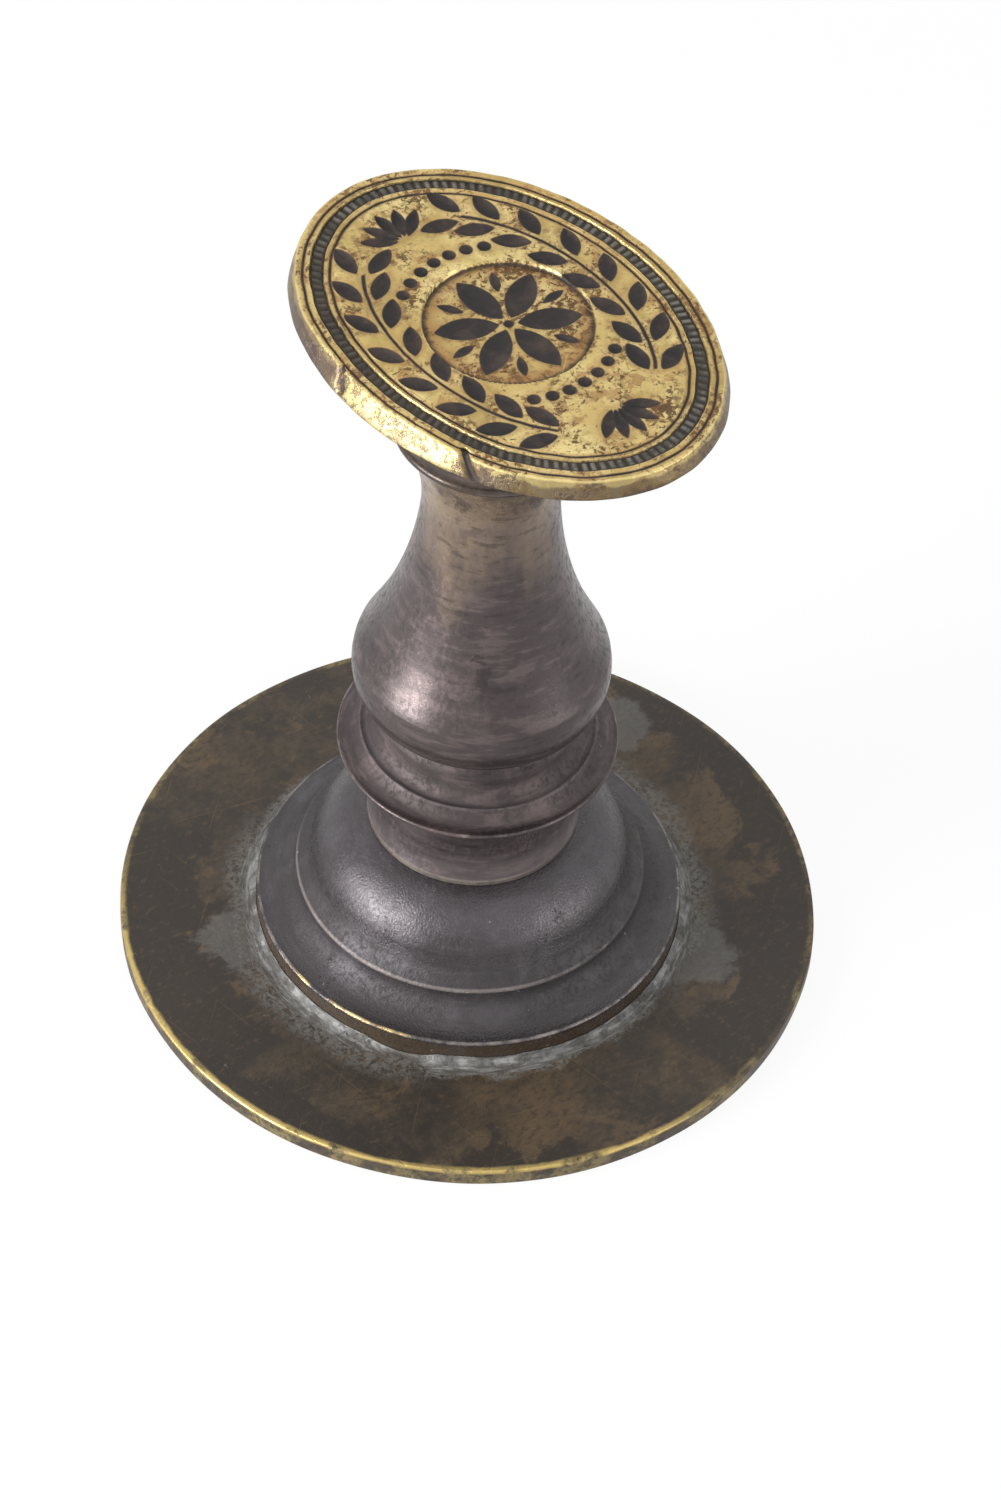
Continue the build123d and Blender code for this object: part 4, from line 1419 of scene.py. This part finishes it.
def land_tone(nodes, clouds, pits, die):
    """The rubbed brass between the cuts, with clusters of brown pits."""
    base = nodes.mix(nodes.between(clouds["Broad"], 0.4, 0.6), die.gold, die.pale_gold)
    base = nodes.lay(base, die.olive, nodes.between(clouds["Blotch"], 0.48, 0.34), 0.6)
    base = nodes.lay(base, die.red, nodes.between(clouds["Blotch"], 0.52, 0.62), 0.6)
    uneven = nodes.sway(clouds["Blotch"], 0.8)
    cluster = nodes.between(nodes.plus(clouds["Broad"], uneven), 0.34, 0.54)
    base = nodes.lay(base, die.brown, nodes.times(pits["Pits"], cluster), 0.9)
    base = nodes.lay(base, die.brown, pits["Flecks"], 0.8)
    return nodes.lay(base, die.brown, nodes.times(nodes.between(clouds["Grain"], 0.54, 0.66), cluster), 0.5)


def side_tone(nodes, place, base, clouds, pits, die):
    """The rim's side: violet at the left, golden before it, and brown under a golden edge elsewhere."""
    down = nodes.attribute("down")
    ragged = nodes.sway(clouds["Blotch"], 0.9)
    on_side = nodes.between(down, 0.02, 0.12)
    below = nodes.between(nodes.plus(down, ragged), 0.2, 0.4)
    golden = nodes.times(nodes.side(place, 188.0, 30.0), nodes.between(clouds["Broad"], 0.7, 0.55))
    violet = nodes.times(nodes.side(place, 148.0, 24.0), on_side)
    dull = nodes.mix(nodes.between(clouds["Blotch"], 0.42, 0.6), die.shade, die.brown)
    base = nodes.lay(base, die.dull_gold, on_side, 0.8)
    base = nodes.lay(base, dull, nodes.times(below, nodes.minus(1.0, golden)), 0.7)
    base = nodes.lay(base, die.shade, violet, 0.6)
    base = nodes.lay(base, die.shade, nodes.times(nodes.between(clouds["Blotch"], 0.54, 0.64), on_side), 0.5)
    base = nodes.lay(base, die.shade, nodes.times(pits["Pits"], on_side), 0.6)
    return nodes.lay(base, die.shade, nodes.between(down, 0.9, 0.98), 0.9)


def seen_directly(nodes):
    """1 for what the camera sees, also in gloss and through glass, and 0 for other light."""
    path = nodes.add("ShaderNodeLightPath").outputs
    return nodes.most(path["Is Camera Ray"], path["Is Glossy Ray"], path["Is Transmission Ray"])


def floor_finish(stage):
    """White paper that keeps a faint shadow."""
    material, nodes = new_material("White Paper")
    paper = nodes.add("ShaderNodeBsdfDiffuse", {"Color": (*stage.floor_tone, 1.0)})
    glow = nodes.add("ShaderNodeEmission", {"Color": (*stage.floor_tone, 1.0), "Strength": 1.0})
    inputs = {0: stage.shade_share, 1: glow.outputs[0], 2: paper.outputs[0]}
    shown = nodes.add("ShaderNodeMixShader", inputs)
    inputs = {0: seen_directly(nodes), 1: paper.outputs[0], 2: shown.outputs[0]}
    both = nodes.add("ShaderNodeMixShader", inputs)
    nodes.add("ShaderNodeOutputMaterial", {"Surface": both.outputs[0]})
    return material


# Operators

class SEAL_OT_base_plate(bpy.types.Operator):
    """Turns the round die plate with its ring-cut face"""

    bl_idname = "seal_stamp.base_plate"
    bl_label = "Round Die Plate"

    def execute(self, context):
        plate = context.scene.seal_plate
        stations = [Station(0.0, 0.0)]
        for inset in (plate.inner_groove, plate.outer_groove):
            outer = plate.radius - inset
            inner = outer - plate.groove_width
            stations += [
                Station(inner, 0.0),
                Station(inner, plate.groove_depth),
                Station(outer, plate.groove_depth),
                Station(outer, 0.0),
            ]
        stations += [
            Station(plate.radius, 0.0, rounding=plate.edge_round),
            Station(plate.radius, plate_top, rounding=plate.edge_round),
            Station(0.0, plate_top),
        ]
        bm = spun(outline(stations, step=0.8 * MM), steps=512)
        wander(bm, plate.unevenness, lumps=3.0, seed=5.0)
        finish_piece(bm, "base_plate", plate_finish(plate), "base_die")
        return {"FINISHED"}


class SEAL_OT_foot(bpy.types.Operator):
    """Turns the stepped foot"""

    bl_idname = "seal_stamp.foot"
    bl_label = "Stepped Foot"

    def execute(self, context):
        foot = context.scene.seal_foot
        sink_level = plate_top + foot.sink_lip
        step_top = plate_top + foot.step_height
        stations = [
            Station(foot.bore_radius, foot_top),
            Station(foot.bore_radius, sink_level + foot.sink_height),
            Station(foot.sink_radius, sink_level),
            Station(foot.sink_radius, plate_top),
            Station(foot.radius, plate_top),
            Station(foot.radius, plate_top + foot.rim_height, rounding=0.3 * MM, bow=-foot.cove_hollow),
            Station(foot.step_radius, plate_top + foot.cove_height),
            Station(foot.step_radius, step_top, rounding=0.25 * MM, bow=-foot.flank_hollow),
            Station(foot.dome_radius, plate_top + foot.dome_height, rounding=0.8 * MM, bow=foot.crown_bulge),
            Station(foot.seat_radius, foot_top),
        ]
        bm = spun(outline(stations, step=0.4 * MM, closed=True), steps=320, closed=True)
        finish_piece(bm, "foot_turning", foot_finish(foot), "foot")
        return {"FINISHED"}


class SEAL_OT_stem(bpy.types.Operator):
    """Turns the handle from its rivet head to the flared cup"""

    bl_idname = "seal_stamp.stem"
    bl_label = "Turned Handle"

    def execute(self, context):
        stem = context.scene.seal_stem
        rivet_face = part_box("stem")[0].z
        levels = stem_levels(stem)
        bead_inside = stem.bead_radius - stem.bead_width
        belly_foot = (stem.belly_foot_radius, levels.belly_foot)
        belly = (stem.belly_radius, levels.belly)
        shoulder = (stem.shoulder_radius, levels.shoulder)
        waist = (stem.waist_radius, levels.waist)
        stations = [
            Station(0.0, rivet_face),
            Station(stem.rivet_radius, rivet_face),
            Station(stem.tenon_radius, rivet_face + stem.rivet_height),
            Station(stem.tenon_radius, foot_top),
            Station(stem.drum_radius, foot_top, rounding=0.1 * MM),
            Station(stem.drum_radius, foot_top + stem.drum_lip, rounding=0.15 * MM, bow=-stem.drum_hollow),
            Station(stem.flare_radius, levels.ring, rounding=0.2 * MM),
            Station(stem.ring_radius, levels.ring + stem.ring_edge / 2, rounding=0.15 * MM),
            Station(stem.ring_radius, levels.ring_top, rounding=0.25 * MM, bow=-stem.dish_hollow),
            Station(stem.bead_radius, levels.bead, bow=stem.bead_swell),
            Station(bead_inside, levels.bead, rounding=0.45 * MM, bow=-stem.collar_hollow),
            Station(stem.collar_radius, levels.collar, rounding=0.6 * MM),
            Station(*belly_foot, rounding=0.7 * MM, bow=upright_bow(belly_foot, belly)),
            Station(*belly, bow=upright_bow(belly, shoulder)),
            Station(*shoulder, rounding=2.2 * MM, bow=-upright_bow(shoulder, waist)),
            Station(*waist, rounding=3.0 * MM, bow=-stem.cup_hollow),
            Station(stem.lip_radius, levels.lip, bow=stem.lip_swell),
            Station(stem.cup_radius, levels.lip + stem.lip_height),
            Station(stem.cup_radius, cup_level),
            Station(stem.tang_bore, cup_level),
            Station(stem.tang_bore, cup_level - stem.tang_depth),
            Station(0.0, cup_level - stem.tang_depth),
        ]
        bm = spun(outline(stations, step=0.4 * MM), steps=256)
        finish_piece(bm, "stem_turning", stem_finish(stem), "stem")
        return {"FINISHED"}


class SEAL_OT_shank(bpy.types.Operator):
    """Turns the flared shank that carries the oval die"""

    bl_idname = "seal_stamp.shank"
    bl_label = "Flared Shank"

    def execute(self, context):
        shank = context.scene.seal_shank
        tang_end = cup_level - shank.tang_length
        stations = [
            Station(0.0, tang_end),
            Station(shank.tang_radius, tang_end),
            Station(shank.tang_radius, shank_bottom),
            Station(shank.foot_radius, shank_bottom, rounding=0.15 * MM, bow=-shank.hollow),
            Station(shank.top_radius, shank_top),
            Station(0.0, shank_top),
        ]
        bm = spun(outline(stations, step=0.4 * MM), steps=256)
        finish_piece(bm, "flared_shank", shank_shadow_finish(context.scene.seal_stem), "die_shank")
        return {"FINISHED"}


# The thin stretch of the solder round the foot: its way, the cosine where it starts, and its loss
gap_angle = math.radians(-151)
solder_gap = Vector((math.cos(gap_angle), math.sin(gap_angle), 0.0))
gap_start = 0.985
gap_loss = 0.7
broad_shift = Vector((3.1, 0.0, 0.0))


def smear_solder(bm, solder, inner):
    """Gives the turned fillet the lumps and smears of hand soldering."""
    for vert in bm.verts:
        radius = math.hypot(vert.co.x, vert.co.y)
        way = Vector((vert.co.x / radius, vert.co.y / radius, 0.0))
        out = (radius - inner) / solder.foot_width
        up = (vert.co.z - plate_top) / solder.foot_height
        broad = lumpy(way * 2.6 + broad_shift)
        fine = lumpy(way * 6.0)
        lump = lumpy(way * 16.0 + Vector((0.0, 0.0, up * 2.0)))
        kept = 1 - gap_loss * max(0.0, way.dot(solder_gap) - gap_start) / (1 - gap_start)
        width = (solder.foot_width * (0.55 + 0.5 * fine) + solder.foot_spread * broad * broad) * kept
        height = solder.foot_height * (0.45 + 0.4 * broad + 0.15 * fine) * kept
        reach = inner + out * width
        vert.co.x = way.x * reach
        vert.co.y = way.y * reach
        if up > 0:
            vert.co.z = plate_top + up * height * (0.85 + 0.15 * lump)


class SEAL_OT_solder(bpy.types.Operator):
    """Lays the solder at the foot, at the cup and under the oval die"""

    bl_idname = "seal_stamp.solder"
    bl_label = "Solder Joints"

    def execute(self, context):
        solder = context.scene.seal_solder
        finish = solder_finish(solder)
        inner = context.scene.seal_foot.radius + solder.foot_gap
        outer = inner + solder.foot_width
        fillet = [
            Station(inner, plate_top),
            Station(outer, plate_top, bow=-0.3 * MM),
            Station(inner, plate_top + solder.foot_height),
        ]
        bm = spun(outline(fillet, step=0.14 * MM, closed=True), steps=512, closed=True)
        smear_solder(bm, solder, inner)
        bmesh.ops.recalc_face_normals(bm, faces=bm.faces)
        finish_piece(bm, "foot_solder_ring", finish, "foot_solder")
        seam = [
            Station(solder.seam_bore, cup_level),
            Station(solder.seam_radius, cup_level, bow=solder.seam_proud),
            Station(solder.seam_radius, shank_bottom),
            Station(solder.seam_bore, shank_bottom),
        ]
        bm = spun(outline(seam, step=0.1 * MM, closed=True), steps=256, closed=True)
        finish_piece(bm, "cup_seam", finish, "shank_solder")
        layer = [
            Station(0.0, shank_top),
            Station(context.scene.seal_shank.top_radius, shank_top),
            Station(solder.layer_radius, die_bottom),
            Station(0.0, die_bottom),
        ]
        bm = spun(outline(layer, step=0.5 * MM), steps=192)
        finish_piece(bm, "die_solder_layer", finish, "die_solder")
        return {"FINISHED"}


class SEAL_OT_oval_die(bpy.types.Operator):
    """Engraves the oval die"""

    bl_idname = "seal_stamp.oval_die"
    bl_label = "Engraved Oval Die"

    def execute(self, context):
        die = context.scene.seal_die
        bm, distances = oval_die_mesh(die)
        piece = finish_piece(bm, "engraved_die", die_finish(die), "oval_die")
        for name, values in distances.items():
            store(piece.data, name, values)
        return {"FINISHED"}


# The studio's lamps, in metres and watts, what they look at, and the camera's film in millimetres
Lamp = namedtuple("Lamp", "name place size power")
lamps = (
    Lamp("Key", (-0.56, 0.16, 0.165), 0.28, 6.0),
    Lamp("Fill", (0.22, -0.53, 0.17), 0.26, 1.2),
    Lamp("Top", (0.1, 0.1, 0.8), 1.4, 2.4),
)
lamp_aim = Vector((0.0, 0.0, 0.035))
film_width = 36.0


def area_lamp(lamp):
    """A soft square lamp that looks at the middle of the stamp."""
    light = bpy.data.lights.new(lamp.name, "AREA")
    light.size = lamp.size
    light.energy = lamp.power
    stand = bpy.data.objects.new(lamp.name, light)
    stand.location = lamp.place
    stand.rotation_mode = "QUATERNION"
    stand.rotation_quaternion = (lamp_aim - Vector(lamp.place)).to_track_quat("-Z", "Y")
    bpy.context.scene.collection.objects.link(stand)


class SEAL_OT_stage(bpy.types.Operator):
    """Sets the floor, the lamps, the world and the camera"""

    bl_idname = "seal_stamp.stage"
    bl_label = "Studio"

    def execute(self, context):
        stage = context.scene.seal_stage
        self.lay_floor(stage)
        self.light_room(stage)
        self.place_camera(stage)
        context.scene.view_settings.view_transform = "Standard"
        return {"FINISHED"}

    def lay_floor(self, stage):
        bm = bmesh.new()
        bmesh.ops.create_grid(bm, x_segments=1, y_segments=1, size=stage.floor_size)
        mesh = bpy.data.meshes.new("paper_floor")
        bm.to_mesh(mesh)
        bm.free()
        mesh.materials.append(floor_finish(stage))
        floor = bpy.data.objects.new("paper_floor", mesh)
        bpy.context.scene.collection.objects.link(floor)

    def light_room(self, stage):
        world = bpy.data.worlds.new("White Room")
        world.use_nodes = True
        world.node_tree.nodes.clear()
        nodes = Nodes(world.node_tree)
        level = nodes.most(seen_directly(nodes), stage.ambient)
        sky = nodes.add("ShaderNodeBackground", {"Color": (*stage.floor_tone, 1.0), "Strength": level})
        nodes.add("ShaderNodeOutputWorld", {"Surface": sky.outputs[0]})
        bpy.context.scene.world = world
        for lamp in lamps:
            area_lamp(lamp)

    def place_camera(self, stage):
        lens = bpy.data.cameras.new("Photo Camera")
        lens.lens = stage.lens
        lens.sensor_width = film_width
        camera = bpy.data.objects.new("Photo Camera", lens)
        place = Vector(stage.camera_place)
        look = (Vector(stage.camera_aim) - place).to_track_quat("-Z", "Y")
        camera.location = place
        camera.rotation_mode = "QUATERNION"
        camera.rotation_quaternion = look @ Quaternion((0.0, 0.0, 1.0), stage.camera_roll)
        bpy.context.scene.collection.objects.link(camera)
        bpy.context.scene.camera = camera


class SEAL_PT_sidebar(bpy.types.Panel):
    """Lists the pieces of the seal stamp"""

    bl_idname = "SEAL_PT_sidebar"
    bl_label = "Seal Stamp"
    bl_space_type = "VIEW_3D"
    bl_region_type = "UI"
    bl_category = "Seal Stamp"

    def draw(self, context):
        for operator in operators:
            self.layout.operator(operator.bl_idname)


operators = (
    SEAL_OT_base_plate,
    SEAL_OT_foot,
    SEAL_OT_stem,
    SEAL_OT_shank,
    SEAL_OT_solder,
    SEAL_OT_oval_die,
    SEAL_OT_stage,
)


def register():
    for settings in settings_classes.values():
        bpy.utils.register_class(settings)
    for name, settings in settings_classes.items():
        setattr(bpy.types.Scene, name, bpy.props.PointerProperty(type=settings))
    for cls in (*operators, SEAL_PT_sidebar):
        bpy.utils.register_class(cls)


def unregister():
    for cls in (SEAL_PT_sidebar, *reversed(operators)):
        bpy.utils.unregister_class(cls)
    for name, settings in settings_classes.items():
        delattr(bpy.types.Scene, name)
        bpy.utils.unregister_class(settings)


def main():
    register()
    bpy.ops.seal_stamp.base_plate()
    bpy.ops.seal_stamp.foot()
    bpy.ops.seal_stamp.stem()
    bpy.ops.seal_stamp.shank()
    bpy.ops.seal_stamp.solder()
    bpy.ops.seal_stamp.oval_die()
    bpy.ops.seal_stamp.stage()


if __name__ == "__main__":
    main()
